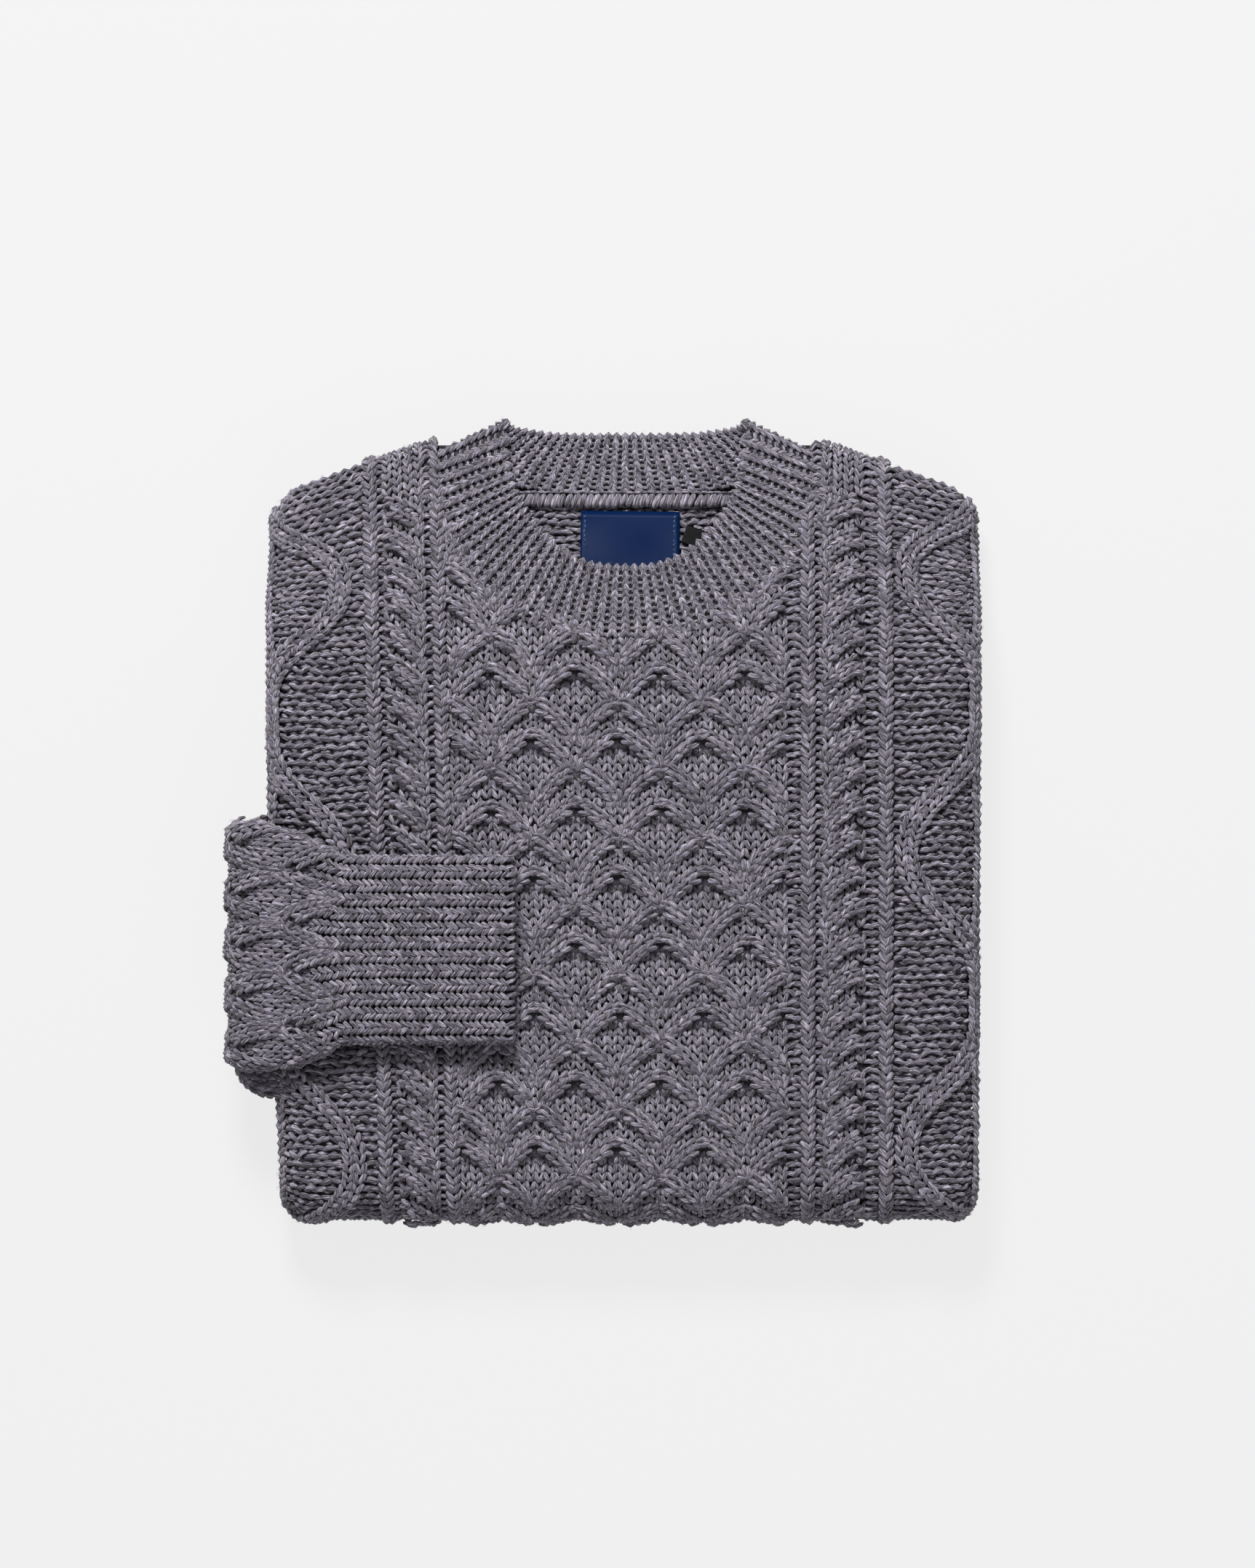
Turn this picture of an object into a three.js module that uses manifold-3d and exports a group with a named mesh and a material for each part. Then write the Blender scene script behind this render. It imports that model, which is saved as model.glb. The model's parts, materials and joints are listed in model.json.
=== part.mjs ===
// A cable knit crew neck sweater, folded for a shelf and lying face up.
// Millimetres, +X to the picture's right, +Y to the shoulders, +Z up.
// Its sides and one sleeve are folded behind it, its lower half is folded up under it,
// and the other sleeve comes round the left edge and lies on the front.
import * as THREE from "three";
import { mergeVertices } from "three/addons/utils/BufferGeometryUtils.js";
import Module from "manifold-3d";

const wasm = await Module();
wasm.setup();

const DEGREE = Math.PI / 180;
const CLEARLY_SHORTER = 0.97; // share of a face's other diagonal

// The folded body
const STACK = 50; // height of the folded layers, without the cables
const SHOULDER_HEIGHT = 31; // the same at the shoulders, where nothing is folded under
const LEG = STACK / 2; // the upper half of the body lies on the lower half
const THIN_LEG = 4; // what is left of the lower half's roll under the shoulders
const ROLL = LEG / 2; // radius of the folded edges
const LOWER_END = { from: 95, to: 150 }; // where the folded up hem ends below the shoulders
const DROOP = { from: 70, to: 184 }; // where the front falls towards the shoulders
const FOLD_Y = -169; // axis of the bottom fold
const FOLD_END = 150; // degrees that the front follows it round
const SHOULDER_Y = 183; // the shoulder line at the neck
const SHOULDER_SLOPE = 0.36;
const NECK_X = 10.5; // middle of the neck
const NECK_HALF = 98;
const SIDES = [
  { y: -180, left: -153.5, right: 178.5 },
  { y: -100, left: -158, right: 179 },
  { y: 0, left: -160, right: 179.5 },
  { y: 110, left: -161, right: 180 },
  { y: 160, left: -160, right: 179.5 },
];

// The cloth
const WALL = 4; // thickness of the cable knit, under its cables
const SEAM = 0.4; // space between pieces

// The knit of the front, from left to right, where the body is half way up.
const RIB_RISE = 1.7;
const RIB_SPREAD = 1.4; // a rib's relief reaches past its columns
const ROPE_RISE = 2.6;
const HONEYCOMB_RISE = 2.6;
const HONEYCOMB_EDGE = { from: -5, to: 12 }; // where its relief fades in from its sides
const DIAMOND_RISE = 2.4;
const PANELS = [
  { knit: "diamond", from: -200, to: -113, steps: 7, lean: 0 },
  { knit: "rib", from: -113, to: -105, steps: 2, lean: 0 },
  { knit: "rope", from: -105, to: -84, steps: 4, lean: 1 },
  { knit: "rib", from: -81, to: -73, steps: 2, lean: 0 },
  { knit: "honeycomb", from: -70.5, to: 91.5, steps: 16, lean: 0 },
  { knit: "rib", from: 94, to: 102, steps: 2, lean: 0 },
  { knit: "rope", from: 105, to: 126.5, steps: 4, lean: -1 },
  { knit: "rib", from: 131, to: 140, steps: 2, lean: 0 },
  { knit: "diamond", from: 140, to: 220, steps: 7, lean: 0 },
];
const BAND_PITCH = 16.4; // from one row of cable crossings to the next
const BAND_Y = 73.5; // the first crossings under the neck
const CELLS = 4; // honeycomb cells across
const CELL_SWING = 5.5;
const ROPE_SLANT = 0.45;
const DIP = 0.12; // what is left of a cable's height between its crossings
const DIAMOND_PITCH = 142;
const DIAMOND_PEAK_Y = 118;
const DIAMOND_REACH = 36;
const DIAMOND_SHARPNESS = 5;
const STRAND_HALF = 6;

// The neck: half of the band, from the middle of the front round to the middle of the back.
// layer is 1 on the front and 0 where the band has turned under to the back.
const BAND_WALL = 4;
const BAND_RIBS = 76;
const BAND_RIB_RISE = 0.6;
const BAND_BEVEL = { seam: 0.12, free: 0.9 }; // shares of the band's width with its full thickness
const BAND_EDGE = 0.33; // thickness at its edges, of its wall
const BAND_FRONT_DROP = 2.5; // the band's middle, under the front's own surface
const BAND_BACK_DROP = 10.5;
const NECKBAND = [
  { seamX: 0, seamY: 90, freeX: 0, freeY: 121.5, layer: 1 },
  { seamX: 28, seamY: 92, freeX: 18.5, freeY: 123.5, layer: 1 },
  { seamX: 53, seamY: 100.5, freeX: 34, freeY: 132.5, layer: 1 },
  { seamX: 73.5, seamY: 117, freeX: 46, freeY: 146, layer: 1 },
  { seamX: 86, seamY: 143, freeX: 53.5, freeY: 160, layer: 1 },
  { seamX: 91.5, seamY: 165, freeX: 57, freeY: 177, layer: 0.95 },
  { seamX: 95, seamY: 179, freeX: 57.5, freeY: 193.5, layer: 0.5 },
  { seamX: 84, seamY: 173, freeX: 53, freeY: 189.5, layer: 0.06 },
  { seamX: 52, seamY: 163, freeX: 34, freeY: 186.5, layer: 0 },
  { seamX: 0, seamY: 159, freeX: 0, freeY: 186, layer: 0 },
];
const NECK_FRONT_ROWS = 7; // rows of the table that lie along the front's cut edge
const NECK_LEVEL_X = 80; // beyond it the cut edge is eased sideways only
const FRONT_LAYER = 0.9; // layer above which the band counts as lying on the front
const NECK_EASE = 1.1; // from the band's seam to the front's cut edge
const NECK_POCKET = 13.4; // depth of the recess that the back of the neck lies in
const BACK_TOP = 9.9; // the back panel's inside, under the front's surface
const BACK_WALL = 3;
const TAPE = { halfWidth: 54, from: 149.5, to: 157.5, thick: 2.5 };
const LABEL = { left: -22, right: 26.5, from: 119, to: 149, thick: 0.8 };
const SIZE_TAB = { left: 27, right: 36.5, from: 131, to: 141, thick: 0.8 };

// The sleeve that comes round the left edge, and its cuff, both flattened tubes.
const SLEEVE_WALL = 3.6;
const SLEEVE_THICK = 12.6;
const SLEEVE_RISE = 2.2;
const SLEEVE_STRANDS = { pitch: 24, half: 0.34, crossings: 7 }; // cables that run round it
const SLEEVE_ROUND = 0.7; // share of its stations that go round the edge
const SLEEVE_LIP = 4; // how much its lower side sags
const SLEEVE_TURN = { x: -155.5, z: 40.4, radius: 19 }; // the middle of the sleeve round the edge
const SLEEVE_START = -70; // degrees below the level, inside the groove between the folded halves
const SLEEVE_SIDES = [
  { along: 0, high: 0, low: -121 },
  { along: 0.5, high: -1.5, low: -120.5 },
  { along: 0.72, high: -6, low: -118 },
  { along: 0.88, high: -12, low: -113.5 },
  { along: 1, high: -16.5, low: -109 },
];
const CUFF = { from: -127, to: -43.5, high: -18.5, low: -106.5 };
const CUFF_RIBS = 14;
const CUFF_RIB_RISE = 1.2;
const CUFF_WALL = 3.6;

const WOOL = 0x67636e;
const NAVY = 0x1d3a78;
const BLACK = 0x202227;

function smoothstep(from, to, value) {
  return THREE.MathUtils.smoothstep(value, from, to);
}

// Reads one column of a table whose rows are sorted by another.
function lookUp(rows, key, value, column) {
  const next = rows.findIndex((row) => row[key] >= value);
  if (next === -1) return rows[rows.length - 1][column];
  if (next === 0) return rows[0][column];
  const before = rows[next - 1];
  const after = rows[next];
  const share = (value - before[key]) / (after[key] - before[key]);
  return THREE.MathUtils.lerp(before[column], after[column], share);
}

function spread(from, to, steps) {
  return Array.from({ length: steps + 1 }, (_, k) => THREE.MathUtils.lerp(from, to, k / steps));
}

// A body under construction: points and triangles that face out.
class Body {
  points = [];
  faces = [];

  // Adds a grid of points and returns the grid of their numbers.
  addPoints(grid) {
    return grid.map((row) => row.map((point) => this.points.push(point) - 1));
  }

  // Splits a four-sided face along its clearly shorter diagonal.
  addQuad(a, b, c, d) {
    const across = this.points[b].distanceTo(this.points[d]);
    const along = this.points[a].distanceTo(this.points[c]);
    if (across < along * CLEARLY_SHORTER) this.faces.push([a, b, d], [b, c, d]);
    else this.faces.push([a, b, c], [a, c, d]);
  }

  addGridFaces(grid, { inward = false, ring = false } = {}) {
    const last = grid[0].length - (ring ? 0 : 1);
    for (let i = 0; i < grid.length - 1; i += 1) {
      for (let j = 0; j < last; j += 1) {
        const next = (j + 1) % grid[0].length;
        const corners = [grid[i][j], grid[i + 1][j], grid[i + 1][next], grid[i][next]];
        if (inward) corners.reverse();
        this.addQuad(...corners);
      }
    }
  }

  // Joins two loops, or two open rows, that run the same way, always by the shorter new edge.
  bridge(outer, inner, { closed }) {
    const steps = (line) => line.length - (closed ? 0 : 1);
    const at = (line, k) => line[k % line.length];
    const gap = (a, b) => this.points[a].distanceTo(this.points[b]);
    let i = 0;
    let j = 0;
    while (i < steps(outer) || j < steps(inner)) {
      const [a, nextA] = [at(outer, i), at(outer, i + 1)];
      const [b, nextB] = [at(inner, j), at(inner, j + 1)];
      const shorter = gap(nextA, b) <= gap(a, nextB);
      const outerMoves = j >= steps(inner) || (i < steps(outer) && shorter);
      this.faces.push([a, outerMoves ? nextA : nextB, b]);
      if (outerMoves) i += 1;
      else j += 1;
    }
  }

  toManifold() {
    const geometry = this.toGeometry();
    return new wasm.Manifold(
      new wasm.Mesh({
        numProp: 3,
        vertProperties: geometry.attributes.position.array,
        triVerts: new Uint32Array(geometry.index.array),
      }),
    );
  }

  toGeometry() {
    const geometry = new THREE.BufferGeometry();
    geometry.setFromPoints(this.points);
    geometry.setIndex(this.faces.flat());
    const merged = mergeVertices(geometry, 1e-3);
    if (signedVolume(merged) < 0) merged.index.array.reverse();
    return merged;
  }
}

function signedVolume(geometry) {
  const { array } = geometry.index;
  const corner = (k) => new THREE.Vector3().fromBufferAttribute(geometry.attributes.position, array[k]);
  let sum = 0;
  for (let k = 0; k < array.length; k += 3) {
    sum += corner(k).dot(corner(k + 1).cross(corner(k + 2)));
  }
  return sum / 6;
}

function geometryOf(manifold) {
  const mesh = manifold.getMesh();
  const geometry = new THREE.BufferGeometry();
  geometry.setAttribute("position", new THREE.BufferAttribute(mesh.vertProperties, mesh.numProp));
  geometry.setIndex(new THREE.BufferAttribute(mesh.triVerts, 1));
  return geometry;
}

// A sheet with an outer and an inner grid, closed along its four edges.
function sheetBody(outerGrid, innerGrid) {
  const body = new Body();
  const outer = body.addPoints(outerGrid);
  const inner = body.addPoints(innerGrid);
  body.addGridFaces(outer);
  body.addGridFaces(inner, { inward: true });
  const column = (grid, j) => grid.map((row) => row.at(j));
  body.bridge(outer[0], inner[0], { closed: false });
  body.bridge(column(outer, -1), column(inner, -1), { closed: false });
  body.bridge(outer.at(-1).slice().reverse(), inner.at(-1).slice().reverse(), { closed: false });
  body.bridge(column(outer, 0).reverse(), column(inner, 0).reverse(), { closed: false });
  return body;
}

// A tube with walls, from rings of points outside and inside, open at both ends.
function tubeBody(outerRings, innerRings) {
  const body = new Body();
  const outer = body.addPoints(outerRings);
  const inner = body.addPoints(innerRings);
  body.addGridFaces(outer, { ring: true });
  body.addGridFaces(inner, { ring: true, inward: true });
  body.bridge(outer[0], inner[0], { closed: true });
  body.bridge(outer.at(-1).slice().reverse(), inner.at(-1).slice().reverse(), { closed: true });
  return body;
}

// Height of the front's own surface, before its cables.
function topHeight(y) {
  return THREE.MathUtils.lerp(STACK, SHOULDER_HEIGHT, smoothstep(DROOP.from, DROOP.to, y));
}

function splitHeight(y) {
  return THREE.MathUtils.lerp(LEG, THIN_LEG, smoothstep(LOWER_END.from, LOWER_END.to, y));
}

function shoulderDrop(x, y) {
  const beyond = Math.max(Math.abs(x - NECK_X) - NECK_HALF, 0);
  return beyond * SHOULDER_SLOPE * smoothstep(DROOP.from, SHOULDER_Y, y);
}

// The folded body is a flat package that runs down the upper half and round the bottom fold.
// A station is a place along it: y, and the turn of its outside away from straight up.
// The knit's rows come two to a band of crossings: even rows are crests, odd rows the dips between.
const END_RADIUS = (SHOULDER_HEIGHT - THIN_LEG) / 2;
const END_Y = SHOULDER_Y - END_RADIUS;
const END_TURN = 100; // degrees that the front turns under at the shoulders
const END_TUCK = 0.5; // how far the hidden layers reach under it, of its radius
const ROW = BAND_PITCH / 2;
const FIRST_ROW = Math.ceil((BAND_Y - END_Y) / ROW);
const LAST_FLAT_ROW = Math.floor((BAND_Y - FOLD_Y) / ROW);

function rowY(row) {
  return BAND_Y - row * ROW;
}

function endStations(fromTurn, steps) {
  return spread(fromTurn, 0, steps).map((turn) => ({ y: END_Y, turn, row: FIRST_ROW - 1 }));
}

function flatStations(fromY, toY, steps) {
  return spread(fromY, toY, steps).map((y) => ({ y, turn: 0 }));
}

function foldStations(toTurn, steps) {
  return spread(0, toTurn, steps).slice(1).map((turn) => ({ y: FOLD_Y, turn }));
}

// One station for each row of the knit, down the front and round the bottom fold.
function knitStations(toTurn) {
  const flat = [];
  for (let row = FIRST_ROW; row <= LAST_FLAT_ROW; row += 1) flat.push({ y: rowY(row), turn: 0, row });
  const turnPerRow = ROW / LEG / DEGREE;
  const past = rowY(LAST_FLAT_ROW) - FOLD_Y;
  const fold = [];
  for (let k = 1; (k - past / ROW) * turnPerRow < toTurn; k += 1) {
    fold.push({ y: FOLD_Y, turn: (k - past / ROW) * turnPerRow, row: LAST_FLAT_ROW + k });
  }
  return [...flat, ...fold];
}

// The middle of the package's half at a station, and its radius there.
function packageMiddle({ y, turn }) {
  if (turn > 0 && y === FOLD_Y) {
    const angle = turn * DEGREE;
    return { y: y - ROLL * Math.sin(angle), z: LEG + ROLL * Math.cos(angle), radius: ROLL };
  }
  const split = splitHeight(y);
  if (turn === 180) return { y, z: split / 2, radius: split / 2 };
  const radius = (topHeight(y) - split) / 2;
  return { y, z: split + radius, radius };
}

// A point of the package: side is -1 to 1 across its flat part, roll the angle round its edge.
function packagePoint(station, { flat, roll }, lift) {
  const { y, z, radius } = packageMiddle(station);
  const left = lookUp(SIDES, "y", y, "left") + ROLL;
  const right = lookUp(SIDES, "y", y, "right") - ROLL;
  const reach = radius + lift;
  const out = Math.sin(roll * DEGREE) * Math.max(ROLL + lift, 1);
  const x = THREE.MathUtils.clamp(flat, left, right) + out;
  const up = reach * Math.cos(roll * DEGREE);
  const turn = station.turn * DEGREE;
  const pointY = y - up * Math.sin(turn);
  return new THREE.Vector3(x, pointY - shoulderDrop(x, pointY), z + up * Math.cos(turn));
}

function acrossStations(flats, rollTo, rollSteps) {
  const rolls = spread(0, rollTo, rollSteps).slice(1);
  const leftEdge = rolls.map((roll) => ({ flat: -Infinity, roll: -roll })).reverse();
  const rightEdge = rolls.map((roll) => ({ flat: Infinity, roll }));
  return [...leftEdge, ...flats.map((flat) => ({ flat, roll: 0 })), ...rightEdge];
}

// Relief of the knit, in millimetres above the plain wall, at a place on the front.
function bump(distance, half) {
  if (Math.abs(distance) >= half) return 0;
  return Math.cos((distance / half) * (Math.PI / 2)) ** 2;
}

// How far a row of the knit is pushed up or down where the cables carry it.
function ropeShift(panel, x) {
  return -panel.lean * (x - (panel.from + panel.to) / 2) * ROPE_SLANT;
}

// Bands of crossings peak together in twos, and the next two peak half a cell on.
function bandShift(panel, x, band) {
  const cell = (panel.to - panel.from) / CELLS;
  const phase = ((band % 4) + 4) % 4 < 2 ? 0.5 : 0;
  const place = ((x - panel.from) / cell + phase) % 1;
  return CELL_SWING * (4 * Math.abs(place - 0.5) - 1);
}

function honeycombShift(panel, x, row) {
  return (bandShift(panel, x, Math.floor(row / 2)) + bandShift(panel, x, Math.ceil(row / 2))) / 2;
}

function panelAt(x) {
  return PANELS.find(({ from, to }) => x >= from && x <= to);
}

function knitShift(x, row) {
  const panel = panelAt(x);
  if (panel?.knit === "rope") return ropeShift(panel, x);
  if (panel?.knit === "honeycomb") return honeycombShift(panel, x, row);
  return 0;
}

function diamondRelief(x, y, edge) {
  const swing = Math.abs(Math.cos((Math.PI * (y - DIAMOND_PEAK_Y)) / DIAMOND_PITCH));
  const strand = DIAMOND_REACH * swing ** DIAMOND_SHARPNESS;
  return DIAMOND_RISE * bump(Math.abs(x - edge) - strand, STRAND_HALF);
}

function knitRelief(x, row) {
  const panel = panelAt(x);
  if (!panel) return 0;
  const crest = row % 2 === 0 ? 1 : DIP;
  const half = (panel.to - panel.from) / 2;
  const offset = x - panel.from - half;
  if (panel.knit === "rope") return ROPE_RISE * crest * Math.sqrt(bump(offset, half));
  if (panel.knit === "honeycomb") return HONEYCOMB_RISE * crest * smoothstep(HONEYCOMB_EDGE.from, HONEYCOMB_EDGE.to, half - Math.abs(offset));
  if (panel.knit === "rib") return RIB_RISE * bump(offset, half * RIB_SPREAD);
  return diamondRelief(x, rowY(row), x < NECK_X ? SIDES[2].left : SIDES[2].right);
}

// The columns of the front's outer grid follow the knit, so each rib and strand has its own.
function knitColumns() {
  const inner = PANELS.flatMap(({ from, to, steps }) => spread(from, to, steps));
  return inner.filter((x) => x > SIDES[2].left + ROLL && x < SIDES[2].right - ROLL);
}

const FLAT_COLUMNS = spread(SIDES[2].left + ROLL, SIDES[2].right - ROLL, 10);
const CORE_ACROSS = acrossStations(FLAT_COLUMNS, 150, 5);
const CORE_ALONG = [...endStations(-END_TURN, 4), ...flatStations(END_Y, FOLD_Y, 16).slice(1), ...foldStations(90, 4)];

// The station moved along the package by a shift of the knit.
function shiftStation(station, shift) {
  if (station.turn < 0) return station;
  const place = station.y - station.turn * DEGREE * LEG + shift;
  if (place >= FOLD_Y) return { ...station, y: Math.min(place, END_Y), turn: 0 };
  return { ...station, y: FOLD_Y, turn: (FOLD_Y - place) / LEG / DEGREE };
}

// The front before the neck is cut: knit relief outside, plain inside.
function frontSheet() {
  const across = acrossStations(knitColumns(), 150, 5);
  const along = [...endStations(-END_TURN, 4), ...knitStations(FOLD_END)];
  const outer = along.map((station) =>
    across.map((place) => {
      const { x } = packagePoint(station, place, 0);
      const moved = shiftStation(station, place.roll === 0 ? knitShift(x, station.row) : 0);
      const fade = Math.max(Math.cos(place.roll * DEGREE), 0) * (station.turn < -60 ? 0 : 1);
      return packagePoint(moved, place, knitRelief(x, station.row) * fade);
    }),
  );
  const innerAlong = [...CORE_ALONG, ...foldStations(FOLD_END, 6).filter(({ turn }) => turn > 91)];
  const inner = innerAlong.map((station) =>
    CORE_ACROSS.map((place) => packagePoint(station, place, -WALL)),
  );
  return sheetBody(outer, inner);
}

// The neckband's two edges as closed curves, with the layer as the curve's z.
function bandCurves() {
  const closed = (xName, yName) => {
    const half = NECKBAND.map((row) => new THREE.Vector3(row[xName], row[yName], row.layer));
    const other = half.slice(1, -1).reverse();
    const points = [...half, ...other.map(({ x, y, z }) => new THREE.Vector3(-x, y, z))];
    return new THREE.CatmullRomCurve3(points, true, "centripetal");
  };
  return { seam: closed("seamX", "seamY"), free: closed("freeX", "freeY") };
}

function bandPoint(curve, t) {
  const place = curve.getPoint(t);
  const layer = THREE.MathUtils.clamp(place.z, 0, 1);
  const drop = THREE.MathUtils.lerp(BAND_BACK_DROP, BAND_FRONT_DROP, layer);
  return new THREE.Vector3(NECK_X + place.x, place.y, topHeight(place.y) - drop);
}

// The cut edge of the front at the neck, from left to right, just outside the band's seam.
function neckEdge() {
  const seamRows = NECKBAND.slice(0, NECK_FRONT_ROWS).map((row) => new THREE.Vector2(row.seamX, row.seamY));
  const half = new THREE.SplineCurve(seamRows).getPoints(18).slice(1);
  const outside = half.map(({ x, y }) => ({ x: x + NECK_EASE, y: y - (x < NECK_LEVEL_X ? NECK_EASE : 0) }));
  const middle = { x: 0, y: NECKBAND[0].seamY - NECK_EASE };
  return [...outside.map(({ x, y }) => ({ x: -x, y })).reverse(), middle, ...outside];
}

// Everything above the neck's recess: its floor follows the front at the given depth.
function neckRecess(depth) {
  const beyond = SHOULDER_Y + 30;
  const level = (heightAt) =>
    spread(0, 1, 12).map((share) =>
      neckEdge().map((edge) => {
        const y = THREE.MathUtils.lerp(beyond, edge.y, share);
        return new THREE.Vector3(edge.x + NECK_X, y, heightAt(y));
      }),
    );
  return sheetBody(level(() => STACK * 2), level((y) => topHeight(y) - depth)).toManifold();
}

// The hidden layers: one rounded solid, with a groove at the sides between its two halves.
function coreManifold() {
  const mirrored = CORE_ALONG.slice(0, -1).reverse();
  const lower = mirrored.map((station) => {
    if (station.y === FOLD_Y && station.turn > 0) return { ...station, turn: 180 - station.turn };
    const underneath = (-station.turn / END_TURN) * END_TUCK * END_RADIUS;
    const y = station.y === END_Y ? END_Y + underneath : station.y;
    return { y, turn: 180 };
  });
  const along = [...CORE_ALONG, ...lower];
  const half = CORE_ALONG.length - 1;
  const grid = along.map((station, i) => {
    const covered = i <= half || station.turn < 180 ? 1 : 0;
    const lift = -(WALL + SEAM) * covered;
    return CORE_ACROSS.map((place) => packagePoint(station, place, lift));
  });
  const body = new Body();
  const points = body.addPoints(grid);
  body.addGridFaces(points);
  const last = points.length - 1;
  for (let i = 0; i < half; i += 1) {
    const rightSide = [i, i + 1, last - i - 1, last - i].map((k) => points[k].at(-1));
    const leftSide = [i, last - i, last - i - 1, i + 1].map((k) => points[k][0]);
    [rightSide, leftSide].forEach(([a, b, c, d]) => {
      if (b === c || c === d) body.faces.push([a, b, d]);
      else body.addQuad(a, b, c, d);
    });
  }
  for (let j = 0; j < CORE_ACROSS.length - 1; j += 1) {
    body.addQuad(points[0][j], points[0][j + 1], points[last][j + 1], points[last][j]);
  }
  return body.toManifold();
}

// The band: a ring of rib knit, flat on the front, turned under at the shoulders.
function neckbandBody() {
  const { seam, free } = bandCurves();
  const count = BAND_RIBS * 2;
  const rings = Array.from({ length: count }, (_, k) => {
    const t = k / count;
    const step = 1 / count;
    const seamPoint = bandPoint(seam, t);
    const freePoint = bandPoint(free, t);
    const ahead = bandPoint(seam, (t + step) % 1).add(bandPoint(free, (t + step) % 1));
    const behind = bandPoint(seam, (t + 1 - step) % 1).add(bandPoint(free, (t + 1 - step) % 1));
    const along = ahead.sub(behind).normalize();
    const width = freePoint.clone().sub(seamPoint).normalize();
    const normal = width.clone().cross(along).normalize();
    const half = BAND_WALL / 2 + (k % 2 === 0 ? BAND_RIB_RISE : 0);
    const at = (share, side, thick) =>
      seamPoint.clone().lerp(freePoint, share).addScaledVector(normal, side * thick);
    const thin = BAND_WALL * BAND_EDGE;
    return [
      at(0, 1, thin),
      at(BAND_BEVEL.seam, 1, half),
      at(BAND_BEVEL.free, 1, half),
      at(1, 1, thin),
      at(1, -1, thin),
      at(BAND_BEVEL.free, -1, half),
      at(BAND_BEVEL.seam, -1, half),
      at(0, -1, thin),
    ];
  });
  const body = new Body();
  const points = body.addPoints(rings);
  body.addGridFaces([...points, points[0]], { ring: true });
  return body;
}

// A thin piece that follows the back of the neck.
function layOnBack({ rows, columns, lift, thick }) {
  const level = (extra) =>
    rows.map((y) => columns(y).map((x) => new THREE.Vector3(x + NECK_X, y, topHeight(y) - BACK_TOP + extra)));
  return sheetBody(level(lift + thick), level(lift));
}

function backPanelBody() {
  const { seam } = bandCurves();
  const edge = spread(0, 0.5, 120).map((t) => seam.getPoint(t)).filter(({ z }) => z > FRONT_LAYER);
  const halfAt = (y) => Math.max(...edge.filter((place) => place.y <= y).map(({ x }) => x)) - 2;
  const rows = spread(TAPE.to, NECKBAND[0].seamY + 3, 10);
  return layOnBack({ rows, columns: (y) => spread(-halfAt(y), halfAt(y), 8), lift: -BACK_WALL, thick: BACK_WALL });
}

function oblong({ left, right, from, to, thick }, steps) {
  return layOnBack({ rows: spread(to, from, 4), columns: () => spread(left, right, steps), lift: SEAM, thick });
}

function tapeBody() {
  const { halfWidth, from, to, thick } = TAPE;
  return oblong({ left: -halfWidth, right: halfWidth, from, to, thick }, 12);
}

// The sleeve's middle line, seen along Y: out of the groove, round the edge, on to the front.
function sleeveStations() {
  const { x, z, radius } = SLEEVE_TURN;
  const round = spread(SLEEVE_START, 90, 9).map((angle) => ({
    x: x - radius * Math.cos(angle * DEGREE),
    z: z + radius * Math.sin(angle * DEGREE),
    out: new THREE.Vector3(-Math.cos(angle * DEGREE), 0, Math.sin(angle * DEGREE)),
    along: (SLEEVE_ROUND * (angle - SLEEVE_START)) / (90 - SLEEVE_START),
  }));
  const ends = spread(x, CUFF.from - SEAM, 5);
  const flat = ends.slice(1).map((place, k) => ({
    x: place,
    z: z + radius,
    out: new THREE.Vector3(0, 0, 1),
    along: THREE.MathUtils.lerp(SLEEVE_ROUND, 1, (k + 1) / (ends.length - 1)),
  }));
  return [...round, ...flat];
}

// A flattened ring of points about a middle line: a stadium with ribs or cables on one face.
function flatRing({ x, z, out, high, low }, { thick, faceSteps, backSteps, rise, lip = 0 }) {
  const radius = thick / 2;
  const top = high - radius;
  const bottom = low + radius;
  const place = (y, up) => new THREE.Vector3(x, y, z).addScaledVector(out, up);
  const face = spread(top, bottom, faceSteps).map((y) => place(y, radius + rise(y)));
  const lowSide = [45, 90, 135].map((angle) =>
    place(bottom - (radius + lip) * Math.sin(angle * DEGREE), radius * Math.cos(angle * DEGREE)));
  const back = spread(bottom, top, backSteps).map((y) => place(y, -radius));
  const highSide = [135, 90, 45].map((angle) =>
    place(top + radius * Math.sin(angle * DEGREE), radius * Math.cos(angle * DEGREE)));
  return [...face, ...lowSide, ...back, ...highSide];
}

function sleeveRelief(y, along) {
  const { pitch, half, crossings } = SLEEVE_STRANDS;
  const place = THREE.MathUtils.euclideanModulo(y / pitch + along * crossings, 1);
  const fadeIn = smoothstep(0, 0.15, along);
  const settle = 1 - 0.5 * smoothstep(0.8, 1, along);
  return SLEEVE_RISE * bump(place - 0.5, half) * fadeIn * settle;
}

function sleeveBody() {
  const rings = (thick, inset, faceSteps, relief) =>
    sleeveStations().map((station) => {
      const high = lookUp(SLEEVE_SIDES, "along", station.along, "high") - inset;
      const low = lookUp(SLEEVE_SIDES, "along", station.along, "low") + inset;
      const rise = (y) => (relief ? sleeveRelief(y, station.along) : 0);
      const lip = relief ? SLEEVE_LIP * (1 - smoothstep(SLEEVE_ROUND, 1, station.along)) : 0;
      return flatRing({ ...station, high, low }, { thick, faceSteps, backSteps: 3, rise, lip });
    });
  const outer = rings(SLEEVE_THICK, 0, 26, true);
  const inner = rings(SLEEVE_THICK - 2 * SLEEVE_WALL, SLEEVE_WALL, 3, false);
  return tubeBody(outer, inner);
}

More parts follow.
